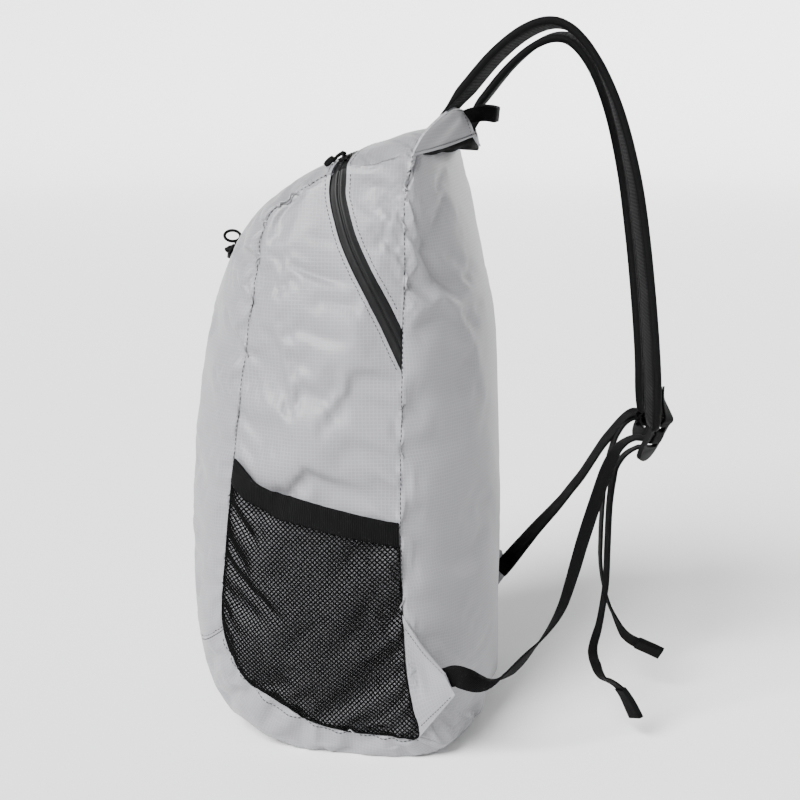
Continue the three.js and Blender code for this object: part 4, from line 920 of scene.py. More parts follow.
def diamond_net(polygon, pitch):
    low, high = polygon.min(axis=0) - 2 * pitch, polygon.max(axis=0) + 2 * pitch
    half = pitch * 0.7071
    columns, rows = int((high[0] - low[0]) / half), int((high[1] - low[1]) / half)
    i, j = np.meshgrid(np.arange(columns), np.arange(rows), indexing="ij")
    points = np.stack([low[0] + i * half, low[1] + j * half], axis=-1)
    faces = []
    for a in range(1, columns - 1):
        for b in range(1 + (a % 2), rows - 1, 2):
            faces.append([(a - 1) * rows + b, a * rows + b - 1, (a + 1) * rows + b, a * rows + b + 1])
    flat = points.reshape(-1, 2)
    within = inside_outline(flat, polygon)
    dense = polyline_at(np.vstack([polygon, polygon[:1]]), np.linspace(0, 1, 1600))
    outside = np.flatnonzero(~within)
    near = np.linalg.norm(flat[outside][:, None] - dense[None, ::4], axis=-1).min(axis=1) < 3 * pitch
    snap = outside[near]
    flat[snap] = dense[np.argmin(np.linalg.norm(flat[snap][:, None] - dense[None], axis=-1), axis=1)]
    faces = [f for f in faces if within[f].sum() >= 1]
    used = np.unique(np.array(faces))
    renumber = np.full(len(flat), -1)
    renumber[used] = np.arange(len(used))
    return flat[used], renumber[np.array(faces)].tolist()


net_flat, net_faces = diamond_net(net_outline, net_pitch)
net_proud = stand_off(net_flat)
for side, word in side_names.items():
    points = on_side(net_flat, side, net_proud)
    net = mesh_piece(f"net_pocket_{word}_yarns", points, net_faces)
    net.data.materials.append(net_yarn)
    apply_modifier(net, "WIREFRAME", thickness=1.5 * MM, use_even_offset=False, use_boundary=True)
    finished(net, [f"mesh_pocket_{word}"], 80)
print("diamonds:", len(net_faces), "net triangles:", sum(len(p.vertices) - 2 for p in net.data.polygons))

# %% [markdown]
# The pocket's mouth is bound with ribbed elastic, folded over the net's edge and a little gathered.

# %% Pocket bindings
def mirrored_section(quarter):
    """A closed section from its right upper quarter, which runs from the edge to the middle."""
    upper = [[-x, y] for x, y in quarter] + quarter[-2::-1]
    return np.array(upper + [[-x, -y] for x, y in upper[1:]])


def closed_band(name, middle, normal, across_way, width, thickness, finish, corner=0.45):
    """A flat band of rounded section along a line: middle, thickness and width directions for each station."""
    half, up = width / 2, thickness / 2
    soft = up * corner * 2
    section = mirrored_section([[half, 0], [half - soft * 0.3, up * 0.75], [half - soft, up],
                                [half * 0.5, up], [0, up]])
    points = (middle[:, None] + across_way[:, None] * section[None, :, :1] + normal[:, None] * section[None, :, 1:])
    uv = metre_uv(run_length(section)[None, :], run_length(middle)[:, None])
    band = laid_grid(name, points, uv, finish, closed=True)
    close_tube(band)
    return band


def close_tube(piece):
    """Joins the tube's seam, caps its ends and turns its faces outwards."""
    select_only(piece)
    bpy.ops.object.mode_set(mode="EDIT")
    bpy.ops.mesh.select_all(action="SELECT")
    bpy.ops.mesh.remove_doubles(threshold=0.00002)
    bpy.ops.mesh.select_all(action="DESELECT")
    bpy.ops.mesh.select_mode(type="EDGE")
    bpy.ops.mesh.select_non_manifold(extend=False, use_wire=False, use_multi_face=False, use_non_contiguous=False,
                                     use_verts=False)
    bpy.ops.mesh.edge_face_add()
    bpy.ops.mesh.select_all(action="SELECT")
    bpy.ops.mesh.normals_make_consistent(inside=False)
    bpy.ops.mesh.select_mode(type="VERT")
    bpy.ops.object.mode_set(mode="OBJECT")


for side, word in side_names.items():
    shares = np.linspace(0, 1, 121)
    top_flat = inset_flat(polyline_at(pocket_line(0), shares), 1.2)
    low_flat = inset_flat(polyline_at(pocket_line(binding_height), shares), 1.2)
    gather = 0.35 * np.sin(shares * 95) + 0.3 * np.sin(shares * 41 + 1)
    swell = 1.6 + pocket_bulge * np.sin(np.pi * np.clip(shares, 0.0, 1.0)) ** 0.7
    top = on_side(top_flat, side, swell + gather * 0.6)
    low = on_side(low_flat, side, swell - gather * 0.3 + 0.2)
    middle, out = (top + low) / 2, unit(np.cross(np.gradient(top, axis=0), top - low))
    band = closed_band(f"pocket_binding_{word}_elastic", middle, out, unit(top - low), binding_height, 2.2, elastic)
    # The elastic's ribs stand across the band, so its UV map is turned
    uv_layer = band.data.uv_layers.active.data
    uv_layer.foreach_set("uv", read_array(uv_layer, "uv", 2)[:, ::-1].ravel())
    finished(band, [f"pocket_binding_{word}"], 60)
print("binding length mm:", round(run_length(middle)[-1]))

# %% [markdown]
# ## Shoulder straps
# Each strap is a thin pad of spacer mesh with a folded tape sewn round its edge. Its middle line
# arches up from the yoke, over where a shoulder would be, and down to the adjuster. The pad is a
# lofted section along that line, a little fuller in its middle than at its edges.

# %% The straps' middle line
strap_width, strap_thickness, strap_spread = 52.0, 5.4, 48.0
strap_reach, strap_drop, strap_root_roll, strap_turn = 142.0, 200.0, 4.0, 10.0
yoke_out, yoke_rise, left_short = 19.0, 17.0, 9.0
edge_tape_width, edge_tape_height = 3.6, 8.4
strap_sewn_end, strap_tuck, strap_press = 12.0, 4, 18
edge_tape_share = 0.36
strap_rows = np.array([
    [0.000, 0.000, 1.00], [0.092, 0.082, 1.00], [0.218, 0.184, 0.95], [0.352, 0.260, 0.85], [0.479, 0.291, 0.75],
    [0.585, 0.265, 0.65], [0.697, 0.168, 0.50], [0.796, 0.010, 0.35], [0.873, -0.194, 0.20], [0.923, -0.403, 0.10],
    [0.965, -0.643, 0.00], [0.993, -0.858, 0.00], [1.000, -1.000, 0.00]])


class StrapLine:
    """Places in a strap's own terms: along its middle line, across it and above it."""

    def __init__(self, side):
        short = left_short if side < 0 else 0
        crown = loop_at(top_back)[1]
        root = np.array([side * strap_spread, crown[0] + yoke_out, crown[1] + yoke_rise - short])
        spread = side * np.linspace(0, 1, len(strap_rows)) * strap_thickness
        places = np.stack([spread, strap_rows[:, 0] * (strap_reach - short), strap_rows[:, 1] * strap_drop], axis=-1)
        self.points = smooth_curve(root + places, 40)
        self.lengths = run_length(self.points)
        self.length = self.lengths[-1]
        self.tangents = unit(np.gradient(self.points, axis=0))
        roll = np.radians(strap_root_roll) * np.interp(np.linspace(0, 1, len(self.points)),
                                                       np.linspace(0, 1, len(strap_rows)), strap_rows[:, 2])
        turn = np.radians(strap_turn) * smooth_step(0.35, 0.75, np.linspace(0, 1, len(self.points)))
        hint = np.stack([np.cos(roll), side * np.sin(turn), side * np.sin(roll)], axis=-1)
        self.widths = unit(hint - self.tangents * np.sum(hint * self.tangents, axis=-1, keepdims=True))
        self.ups = np.cross(self.tangents, self.widths)

    def place(self, along, across, up):
        along, across, up = np.broadcast_arrays(*[np.asarray(v, float) for v in (along, across, up)])
        at = np.clip(along, 0, self.length)

        def read(table):
            return np.stack([np.interp(at, self.lengths, table[:, k]) for k in range(3)], axis=-1)
        point = read(self.points) + read(self.tangents) * (along - at)[..., None]
        return point + read(self.widths) * across[..., None] + read(self.ups) * up[..., None]


strap_lines = {side: StrapLine(side) for side in (1, -1)}
strap_half = strap_width / 2 - edge_tape_width - seam_gap


def strap_half_at(along, length):
    left = np.minimum(1, (length - along) / 26)
    return strap_half * (0.55 + 0.45 * np.sqrt(np.maximum(0, 1 - (1 - left) ** 2)))


print("strap lengths mm:", [round(line.length) for line in strap_lines.values()])

# %% Strap pads and their edge tape
pad_section = mirrored_section([[1, 0], [0.985, 0.55], [0.93, 0.86], [0.75, 1.0], [0.4, 1.06], [0, 1.08]])


def pressed(along):
    """How far the yoke's seam presses the strap flat: 1 where it is free."""
    return 0.3 + 0.7 * smooth_step(0, strap_press, along)


for side, word in side_names.items():
    line = strap_lines[side]
    full = line.length + strap_sewn_end
    along = np.linspace(-strap_tuck, full, 150)
    half = strap_half_at(along, full) + 0.6
    soft = pressed(along) + 0.05 * np.sin(along / 13 + side) + 0.04 * np.sin(along / 5.3)
    across = half[:, None] * pad_section[None, :, 0]
    up = strap_thickness / 2 * soft[:, None] * pad_section[None, :, 1]
    points = line.place(along[:, None], across, up)
    uv = metre_uv(run_length(points[70])[None, :], along[:, None])
    pad = laid_grid(f"strap_pad_{word}_spacer_mesh", points, uv, spacer_mesh, closed=True)
    close_tube(pad)
    finished(pad, [f"strap_pad_{word}"], 50)

    edge = np.stack([along, strap_half_at(along, full)], axis=-1)
    corner = edge[-1, 1]
    bend = [[full + 0.4, corner * s] for s in (0.8, 0.5, 0.2, -0.2, -0.5, -0.8)]
    path = np.vstack([edge, bend, edge[::-1] * [1, -1]])
    way = unit(np.gradient(path, axis=0))
    out = np.stack([-way[:, 1], way[:, 0]], axis=-1)
    ring = np.array([[-0.9, 0.62], [0.6, 0.86], [2.0, 0.92], [3.2, 0.66], [3.75, 0.2], [3.75, -0.2], [3.2, -0.66],
                     [2.0, -0.92], [0.6, -0.86], [-0.9, -0.62], [-0.9, 0.62]])
    tape = line.place(path[:, 0][:, None] + out[:, 0][:, None] * ring[None, :, 0],
                      path[:, 1][:, None] + out[:, 1][:, None] * ring[None, :, 0],
                      ring[None, :, 1] * edge_tape_height * edge_tape_share * pressed(path[:, :1]))
    uv = metre_uv(run_length(ring * [1, 4.2])[None, :], run_length(path)[:, None])
    tape_piece = laid_grid(f"strap_edge_{word}_tape", tape, uv, edge_tape, closed=True)
    close_tube(tape_piece)
    finished(tape_piece, [f"strap_binding_{word}"], 60)
print("pad triangles:", len(pad.data.polygons) * 2)

# %% [markdown]
# ## Yoke
# A tapered wing of ripstop carries each strap. Its root is sewn along the top of the back panel, and its
# free edges are hemmed. A dark lining closes the yoke between the wings, and the haul loop of webbing
# is caught in the wings' inner hems.

# %% Yoke wings
wing_thickness, bottom_reach = 2.2, 34.0
wing_root = {"row": (top_back + 0.03, top_back + 0.42), "across": (0.97, 0.045)}


def wing_lines(side):
    line = strap_lines[side]
    drop = left_short if side < 0 else 0
    lift = seam_gap + wing_thickness / 2

    def on_back(share):
        share = np.asarray(share, float)
        rows = wing_root["row"][0] * (1 - share) + wing_root["row"][1] * share
        across = wing_root["across"][0] * (1 - share) + wing_root["across"][1] * share
        return strip_point(rows, side * across, False) + np.array([side * lift * 0.5, lift, lift * 0.6])
    half = strap_width / 2
    tip = on_back(1.0) + [0, bottom_reach * 0.62, wing_thickness * 3 - drop]
    top = smooth_curve(line.place([0.5, 2.6, 2.6, 0.5], np.array([1, 0.45, -0.3, -1]) * side * half, 2.0), 8)
    outer_top, inner_top = top[0], top[-1]
    corner = on_back(0.0)
    outer = smooth_curve([corner, corner * 0.55 + outer_top * 0.45 + [0, -1.5, 2], outer_top])
    inner = smooth_curve([tip, tip * 0.5 + inner_top * 0.5 + [0, 1.2, 0.6], inner_top])
    hem = smooth_curve([corner, corner * 0.5 + tip * 0.5 + [0, 0.6, -1.2], tip])
    return outer, inner, hem, top


def wing_grid(side, count=44):
    shares = np.linspace(0, 1, count)
    outer, inner, root, end = (polyline_at(line, shares) for line in wing_lines(side))
    return coons(outer, inner, root, end)


hem_lines = []
for side, word in side_names.items():
    points = wing_grid(side)
    normal = surface_normals(points, np.array([0, 0, body_height]))
    u = np.linspace(0, 1, points.shape[1])[None, :, None]
    v = np.linspace(0, 1, points.shape[0])[:, None, None]
    crease = 1.3 * np.sin(u * 8 - v * 6 + side) * np.sin(np.pi * u) * np.sin(np.pi * v) ** 0.5
    hem = 0.5 * (smooth_step(0.12, 0.09, 1 - u) + smooth_step(0.09, 0.06, v) + smooth_step(0.91, 0.94, v))
    points = points + normal * (crease + hem)
    hem_lines += [points[3], points[-4], points[:, -4]]
    cloth_piece(f"yoke_wing_{word}_cloth", points, [], [f"yoke_wing_{word}"], thickness=1.5,
                centre=[0, 0, body_height])
print("wing net:", points.shape[:2])

# %% Yoke lining and haul loop
def band_through(stops, widths, count=60):
    """A smooth line through stops, with the width direction turning from stop to stop."""
    stops, widths = np.asarray(stops, float), np.asarray(widths, float)
    per = max(4, count // (len(stops) - 1))
    middle = smooth_curve(stops, per)
    ways = np.stack([np.interp(np.linspace(0, len(stops) - 1, len(middle)), np.arange(len(stops)), widths[:, k])
                     for k in range(3)], axis=-1)
    tangent = unit(np.gradient(middle, axis=0))
    across = unit(ways - tangent * np.sum(ways * tangent, axis=-1, keepdims=True))
    return middle, across, np.cross(tangent, across)


# Section of the lining at the middle: under the wings' corner, down, and back to the back panel.
# It hangs less deep on the far side.
lining_section = np.array([[-1.6, -0.8], [-0.8, -4.0], [-3.2, -8.2], [-7.0, -9.2], [-13.0, -8.4], [-21.0, -6.0]])
lining_columns, far_lining_depth = [], 0.3
for side in (1, -1):
    corner, tip = wing_lines(side)[2][0], wing_lines(side)[2][-1]
    for share in (np.linspace(0.25, 1, 22) if side > 0 else np.linspace(1, 0.25, 22)):
        at = corner * (1 - share) + tip * share
        depth = 1 if side > 0 else far_lining_depth
        drops = lining_section * [1, 1 + 0.1 * math.sin(share * 20)] * share ** 0.8 * depth
        lining_columns.append(at + np.pad(drops, ((0, 0), (1, 0))))
lining_points = np.stack([smooth_curve(column, 4) for column in lining_columns], axis=1)
lining_piece = laid_grid("yoke_lining_mesh", lining_points, arc_uv(lining_points), spacer_mesh, [0, 40, 430])
apply_modifier(lining_piece, "SOLIDIFY", thickness=1.6 * MM, offset=-1)
finished(lining_piece, ["yoke_lining"], 60)

haul_webbing, haul_thickness, haul_span, haul_reach, haul_root = 10.8, 1.8, 25.0, 21.0, 0.66
haul_ends = []
for side in (1, -1):
    at = polyline_at(wing_lines(side)[1], np.array([haul_root]))[0]
    at += [-side * (wing_thickness + haul_thickness), -3, 0]
    haul_ends.append((at, np.array([0, 0.25, 1.0])))
far, level, half = haul_ends[0][0][1] + haul_reach, haul_ends[0][0][2] + 2.0, haul_span / 2
leg = [[half, -haul_reach * 0.7, 0], [half, -haul_reach * 0.3, 1], [half * 0.75, 0, 0]]
route = leg + [[0, haul_reach * 0.04, 0]] + [[-x, y, z] for x, y, z in leg[::-1]]
haul_stops = [haul_ends[0][0]] + [np.array([x, far + y, level + z]) for x, y, z in route] + [haul_ends[1][0]]
haul_widths = [haul_ends[0][1]] + [[0, 0.1, 1]] * 7 + [haul_ends[1][1]]
middle, across, thick = band_through(haul_stops, haul_widths, 120)
haul = closed_band("haul_loop_webbing", middle, thick, across, haul_webbing, haul_thickness, webbing_weave)
finished(haul, ["haul_loop"], 50)
print("haul loop mm:", round(run_length(middle)[-1]))

# %% [markdown]
# ## Lower webbing
# Each strap ends in a ladder-lock: a flat moulded frame with two slots. A short loop of webbing ties it to the
# strap. The long webbing comes up from a hemmed wing at the bottom of the back seam, turns over the lock's
# middle bar and hangs down as a free tail, whose end is folded over and sewn.

# %% Bottom wings
bottom_flare = 8.0
webbing_width, webbing_thickness = 15.0, 1.5
left_wing_drawn = np.array([0, 8.0, 13.0])


def bottom_tip(side):
    seam, _, half, _ = loop_at(back_low + 0.35)
    tip = np.array([side * (half + bottom_flare), seam[0] + bottom_reach - webbing_width * 0.2, seam[1]])
    return tip + (left_wing_drawn if side < 0 else 0)


for side, word in side_names.items():
    lift = seam_gap + wing_thickness / 2
    rows = np.linspace(row_count, back_low - 0.33, 41)
    seam, _, half, _ = loop_at(rows)
    root = np.stack([side * (half + lift), seam[:, 0] + 2 * seam_gap, seam[:, 1]], axis=-1)
    tip = bottom_tip(side)
    slope = webbing_width / 2
    low, high = tip + [0, slope * 0.55, -slope], tip + [0, -slope * 0.55, slope]
    shares = np.linspace(0, 1, 36)
    upper = smooth_curve([root[-1], root[-1] * 0.55 + high * 0.45 + [0, 0, -slope * 0.5], high])
    points = coons(polyline_at(root, shares), polyline_at(np.stack([low, high]), shares),
                   polyline_at(np.stack([root[0], low]), shares), polyline_at(upper, shares))
    u = np.linspace(0, 1, 36)[None, :, None]
    v = np.linspace(0, 1, 36)[:, None, None]
    bulge = np.sin(np.pi * u) * 1.6 * np.sin(v * 5.5) - 5.0 * np.exp(-((v - 0.5) / 0.22) ** 2 - ((u - 0.3) / 0.2) ** 2)
    bulge += 0.6 * (smooth_step(0.10, 0.07, v) + smooth_step(0.91, 0.94, v))
    points = points + np.array([side, 0, 0]) * bulge
    hem_lines += [points[3, 2:-2], points[-4, 2:-2]]
    cloth_piece(f"bottom_wing_{word}_cloth", points, [], [f"bottom_wing_{word}"], thickness=1.6,
                centre=[0, 0, body_centre[2]])
print("bottom wing tips mm:", [np.round(bottom_tip(side)).tolist() for side in (1, -1)])

# %% Ladder-locks
lock_length, lock_thickness, lock_tilt, lock_turn, lock_bar = 34.0, 3.4, 26.0, 24.0, 4.0
upper_slot = (-lock_length / 2 + lock_bar, -lock_length / 2 + lock_bar + 9)
lower_slot = (upper_slot[1] + lock_bar + 0.5, upper_slot[1] + lock_bar + 5.5)


class LockFrame:
    """An adjuster's own directions: down its length, across its width and out of its face."""

    def __init__(self, side):
        line = strap_lines[side]
        tilt, turn = math.radians(lock_tilt), math.radians(lock_turn) * side
        self.down = np.array([0, -math.sin(tilt), -math.cos(tilt)])
        axis = Vector(self.down)
        width = Vector((1, 0, 0))
        width.rotate(Quaternion(axis, turn))
        self.width = np.array(width)
        face = np.cross(self.down, self.width)
        face /= np.linalg.norm(face)
        self.face = face if face[1] > 0 else -face
        end = line.place(line.length, 0, 0)
        self.centre = end + [0, 1.45 * edge_tape_height, 0] + self.down * (lock_length / 2 + 2.5 * edge_tape_width)

    def place(self, along, up):
        return self.centre + self.down * along + self.face * up


def copy_of_node(node, name, finish, bevel=0.6):
    """A CAD node's shape as a new piece: merged, with its edges rounded as a mould rounds them."""
    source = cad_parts[node]
    piece = linked(name, source.data.copy())
    piece.data.transform(source.matrix_world)
    piece.data.materials.clear()
    piece.data.materials.append(finish)
    select_only(piece)
    bpy.ops.object.mode_set(mode="EDIT")
    bpy.ops.mesh.select_all(action="SELECT")
    bpy.ops.mesh.remove_doubles(threshold=0.00002)
    bpy.ops.mesh.dissolve_limited(angle_limit=math.radians(3))
    bpy.ops.object.mode_set(mode="OBJECT")
    apply_modifier(piece, "BEVEL", width=bevel * MM, segments=3, limit_method="ANGLE", angle_limit=math.radians(35))
    return piece


locks = {side: LockFrame(side) for side in (1, -1)}
for side, word in side_names.items():
    lock = copy_of_node(f"adjuster_{word}", f"adjuster_{word}_moulding", acetal)
    finished(lock, [f"adjuster_{word}"], 35)
print("lock faces:", len(lock.data.polygons))

# %% Webbing through the locks
webbing_clear = lock_thickness / 2 + 2 * seam_gap + webbing_thickness / 2
# Places of the webbings from the lock down, in millimetres, and how far the width has turned
# from lying across the pack, in degrees.
webbing_down = {
    1: [[56, 186.4, 225.1, 2], [57, 179.6, 224.7, 2], [58, 173.6, 222.2, 8], [60, 168.3, 217.5, 18],
        [62, 163.8, 209.3, 28], [64, 160.0, 199.7, 33], [68, 153.8, 179.7, 33], [71, 149.5, 165.3, 33],
        [75, 145.3, 150.4, 32], [79, 141.7, 136.3, 30], [86, 135.8, 115.1, 22], [90, 131.8, 105.3, 14],
        [94, 126.9, 97.0, 4], [98, 120.7, 88.6, -6], [102, 114.3, 81.6, -16], [106, 108.5, 75.4, -24],
        [110, 102.3, 69.6, -26], [114, 95.9, 65.9, -20], [118, 88.8, 63.5, 0], [122, 80.4, 63.9, 35],
        [126, 72.8, 67.2, 65], [126.5, 66.0, 69.2, 84], [124, 60.5, 67.0, 90], [118, 54.5, 63.0, 90]],
    -1: [[-57, 179.0, 219.6, 8], [-58, 173.0, 218.5, 12], [-60, 168.1, 215.2, 15], [-63, 162.5, 208.5, 18],
         [-67, 156.4, 200.0, 19], [-72, 149.5, 190.0, 19], [-77, 141.8, 176.7, 19], [-83, 133.7, 162.6, 19],
         [-89, 125.1, 149.9, 19], [-95, 116.2, 136.7, 20], [-101, 107.9, 125.7, 24], [-108, 96.9, 111.5, 30],
         [-117, 84.3, 94.1, 40], [-124.5, 71.5, 76.5, 56], [-121, 65.0, 70.0, 62]]}
tails_down = {
    1: [[56, 184.5, 219.4, -4], [57, 178.5, 216.5, -2], [57, 172.7, 212.1, 4], [58, 168.1, 205.7, 10],
        [58, 165.6, 197.7, 17], [58, 163.3, 177.6, 17], [58, 162.6, 150.8, 17], [57, 162.2, 125.0, 16],
        [56, 161.3, 112.6, 15], [55, 159.8, 100.7, 15], [55, 157.6, 86.5, 16], [55, 154.6, 74.5, 20],
        [55, 154.0, 66.2, 30], [54, 155.5, 59.2, 36], [54, 158.1, 51.9, 34], [53, 161.0, 47.5, 30],
        [52, 165.2, 45.4, 30], [51, 169.9, 42.5, 30], [50, 174.2, 38.3, 32], [50, 178.6, 31.8, 36],
        [50, 182.0, 25.2, 40], [50, 185.4, 18.2, 42]],
    -1: [[-56, 179.1, 216.4, 8], [-56, 173.2, 215.8, 10], [-56, 167.3, 211.7, 12], [-57, 163.3, 205.6, 12],
         [-57, 160.0, 198.5, 12], [-57, 155.5, 182.7, 12], [-57, 152.6, 160.7, 13], [-57, 151.2, 133.9, 13],
         [-56, 151.0, 118.3, 13], [-55, 151.2, 102.6, 12], [-54, 153.6, 85.7, 12], [-53, 158.6, 68.9, 14],
         [-52, 163.0, 59.9, 18], [-51, 167.7, 51.1, 28], [-50, 171.7, 45.6, 40], [-50, 177.6, 41.3, 46],
         [-50, 184.4, 38.3, 48], [-50, 192.6, 35.0, 48], [-50, 199.5, 32.0, 48]]}


def turned_widths(rows):
    """Width directions of a webbing from its places and the degrees it has turned."""
    rows = np.asarray(rows, float)
    way = unit(np.gradient(rows[:, :3], axis=0) * [0, 1, 1])
    normal = np.stack([0 * way[:, 0], -way[:, 2], way[:, 1]], axis=-1)
    angle = np.radians(rows[:, 3:4])
    return np.cos(angle) * [1, 0, 0] + np.sin(angle) * normal


for side, word in side_names.items():
    line, lock = strap_lines[side], locks[side]
    off_face = edge_tape_height / 2 + 2 * seam_gap + webbing_thickness / 2
    second = off_face + webbing_thickness + seam_gap
    turn_at = upper_slot[0] + 1.5 * webbing_thickness
    stops = [line.place(line.length - 12, 0, -off_face), line.place(line.length - 2.4, 0, -off_face),
             lock.place(upper_slot[0] - lock_bar - 1, -webbing_clear), lock.place(upper_slot[0] - 1, -webbing_clear),
             lock.place(turn_at - 0.4, -webbing_clear * 0.7), lock.place(turn_at, 0),
             lock.place(turn_at - 0.4, webbing_clear * 0.7), lock.place(upper_slot[0] - 1, webbing_clear),
             lock.place(upper_slot[0] - lock_bar - 1, webbing_clear), line.place(line.length - 3.6, 0, -second),
             line.place(line.length - 12, 0, -second)]
    ways = [[1, 0, 0]] * 2 + [lock.width] * 7 + [[1, 0, 0]] * 2
    middle, across, thick = band_through(stops, ways, 100)
    tie = closed_band(f"adjuster_loop_{word}_webbing", middle, thick, across, webbing_width, webbing_thickness,
                      webbing_weave)
    finished(tie, [f"adjuster_loop_{word}"], 50)

    down, tail = np.array(webbing_down[side], float), np.array(tails_down[side], float)
    turn_up, turn_down = upper_slot[1] - 1.9, lower_slot[0] + 1.9
    clear = webbing_clear
    over_bar = [(turn_up - 0.4, -clear), (turn_up, 0), (turn_up + 0.6, clear * 0.85),
                ((turn_up + turn_down) / 2, clear), (turn_down - 0.6, clear * 0.85), (turn_down, 0),
                (turn_down + 0.4, -clear * 0.8)]
    stops = [*down[::-1, :3], *[lock.place(a, b) for a, b in over_bar], *tail[:, :3]]
    ways = [*turned_widths(down)[::-1], *[lock.width] * len(over_bar), *turned_widths(tail)]
    middle, across, thick = band_through(stops, ways, 420)
    strap = closed_band(f"lower_webbing_{word}_weave", middle, thick, across, webbing_width, webbing_thickness,
                        webbing_weave)
    finished(strap, [f"lower_webbing_{word}"], 50)
    end = slice(len(middle) - 26, len(middle))
    hem = closed_band(f"tail_hem_{word}_webbing", middle[end], thick[end], across[end], webbing_width + 0.6,
                      webbing_thickness * 2.6, webbing_weave)
    finished(hem, (), 50)
    print(f"webbing {word} mm:", round(run_length(middle)[-1]))

# %% [markdown]
# ## Sliders and pulls
# The main zip's slider is a small moulded block with a bridge over it. A loop of cord hangs through the
# bridge and ends in a moulded grip. On the front pocket's zip a ring of covered cord does the same.

# %% Front pocket's zip
front_zip_from, front_zip_to = (9.28, 0.16), (7.75, -0.42)
front_zip_width = 12.0
front_zip_slant = (front_zip_width * 0.0055, front_zip_width * 0.0035)


def front_zip_place(share, offset):
    place = front_zip_from[0] + (front_zip_to[0] - front_zip_from[0]) * share - offset * front_zip_slant[0]
    across = front_zip_from[1] + (front_zip_to[1] - front_zip_from[1]) * share + offset * front_zip_slant[1]
    return place, across


tape_edge, tape_rise = 6.2, 1.4
tape_offsets = zip_profile[1:-1, 0] / tape_edge
tape_shares = np.linspace(0, 1, 120)[:, None]
tape_points = on_strip(*front_zip_place(tape_shares, tape_offsets[None, :]))
tape_normal = surface_normals(tape_points)
tape_points = tape_points + tape_normal * (zip_profile[None, 1:-1, 1:2] + tape_rise)
tape_uv = metre_uv(tape_offsets[None, :] * tape_edge, run_length(tape_points[:, 6])[:, None])
front_tape = laid_grid("front_zip_coated_tape", tape_points, tape_uv, coated_zip)
apply_modifier(front_tape, "SOLIDIFY", thickness=1.2 * MM, offset=-1)
finished(front_tape, ["front_zip_tape"], 50)
print("front zip mm:", round(run_length(tape_points[:, 6])[-1]))

# %% Sliders, cords and grips
def slider_block(name, place, along, up, length=12.0, width=8.5, height=4.0):
    """A slider: a block with rounded ends and a bridge over its middle."""
    across = np.cross(up, along)
    bpy.ops.object.select_all(action="DESELECT")
    bpy.ops.mesh.primitive_cube_add(size=1)
    piece = bpy.context.object
    piece.name = piece.data.name = name
    bpy.ops.object.mode_set(mode="EDIT")
    bpy.ops.mesh.select_all(action="SELECT")
    bpy.ops.transform.resize(value=(length, width, height * 0.55))
    bpy.ops.mesh.subdivide(number_cuts=3)
    bpy.ops.object.mode_set(mode="OBJECT")
    co = read_array(piece.data.vertices, "co")
    nose = np.clip((np.abs(co[:, 0]) / (length / 2) - 0.5) / 0.5, 0, 1)
    co[:, 1] *= 1 - 0.28 * nose * (co[:, 0] > 0)
    co[:, 2] *= 1 - 0.25 * nose
    piece.data.vertices.foreach_set("co", co.ravel())
    bpy.ops.object.mode_set(mode="EDIT")
    bpy.ops.mesh.select_all(action="DESELECT")
    bpy.ops.mesh.primitive_torus_add(major_segments=20, minor_segments=8, major_radius=length * 0.27, minor_radius=0.95,
                                     location=(0, 0, height * 0.28), rotation=(math.pi / 2, 0, 0))
    bpy.ops.object.mode_set(mode="OBJECT")
    basis = np.stack([along, across, up], axis=0)
    co = read_array(piece.data.vertices, "co")
    piece.data.vertices.foreach_set("co", ((co @ basis + place) * MM).ravel())
    piece.data.materials.append(acetal)
    apply_modifier(piece, "BEVEL", width=0.5 * MM, segments=2, limit_method="ANGLE", angle_limit=math.radians(40))
    return piece


def tube_loop(name, places, radius, finish, joined=True, hint=(0.3, 0.2, 1)):
    """A round cord through places, joined to itself or with closed ends."""
    places = np.asarray(places, float)
    if joined:
        places = np.vstack([places, places[:1]])
        around = np.vstack([places[-2:-1], places, places[1:2]])
        f = np.linspace(0, 1, 10, endpoint=False)[:, None]
        spans = [catmull(*around[k:k + 4], f) for k in range(len(places) - 1)]
        middle = np.vstack([*spans, spans[0][:1]])
        tangent = unit(np.gradient(np.vstack([middle[-2:-1], middle, middle[1:2]]), axis=0)[1:-1])
    else:
        middle = smooth_curve(places, 10)
        tangent = unit(np.gradient(middle, axis=0))
    side_way = unit(np.cross(tangent, np.asarray(hint, float)))
    up_way = np.cross(side_way, tangent)
    angle = np.linspace(0, 2 * math.pi, 13)
    ring = radius * np.stack([np.cos(angle), np.sin(angle)], axis=-1)
    points = middle[:, None] + side_way[:, None] * ring[None, :, :1] + up_way[:, None] * ring[None, :, 1:]
    uv = metre_uv(angle[None, :] * radius, run_length(middle)[:, None])
    cord = laid_grid(name, points, uv, finish, closed=True)
    if joined:
        face_outwards(cord, merge_mm=0.02)
    else:
        close_tube(cord)
    return cord


def strip_normal(place, across):
    spread = on_strip(np.array([[place - 0.05], [place + 0.05]]), np.array([[across - 0.03, across + 0.03]]))
    normal = unit(np.cross(spread[1, 0] - spread[0, 0], spread[0, 1] - spread[0, 0]))
    return normal if np.dot(normal, spread[0, 0] - body_centre) > 0 else -normal


main_across = 0.54
main_place = on_strip(zip_row, main_across)
main_up = strip_normal(zip_row, main_across)
main_along = unit(np.array([1.0, 0, 0]) - main_up * main_up[0])
main_forward = np.cross(main_up, main_along)
main_forward = main_forward if main_forward[1] < 0 else -main_forward
slider = slider_block("main_zip_slider_block", main_place + main_up * 0.4, main_along, main_up)
finished(slider, ["main_zip_slider"], 40)


def beside_main(ahead, aside, above):
    return main_place + main_forward * ahead + main_along * aside + main_up * above


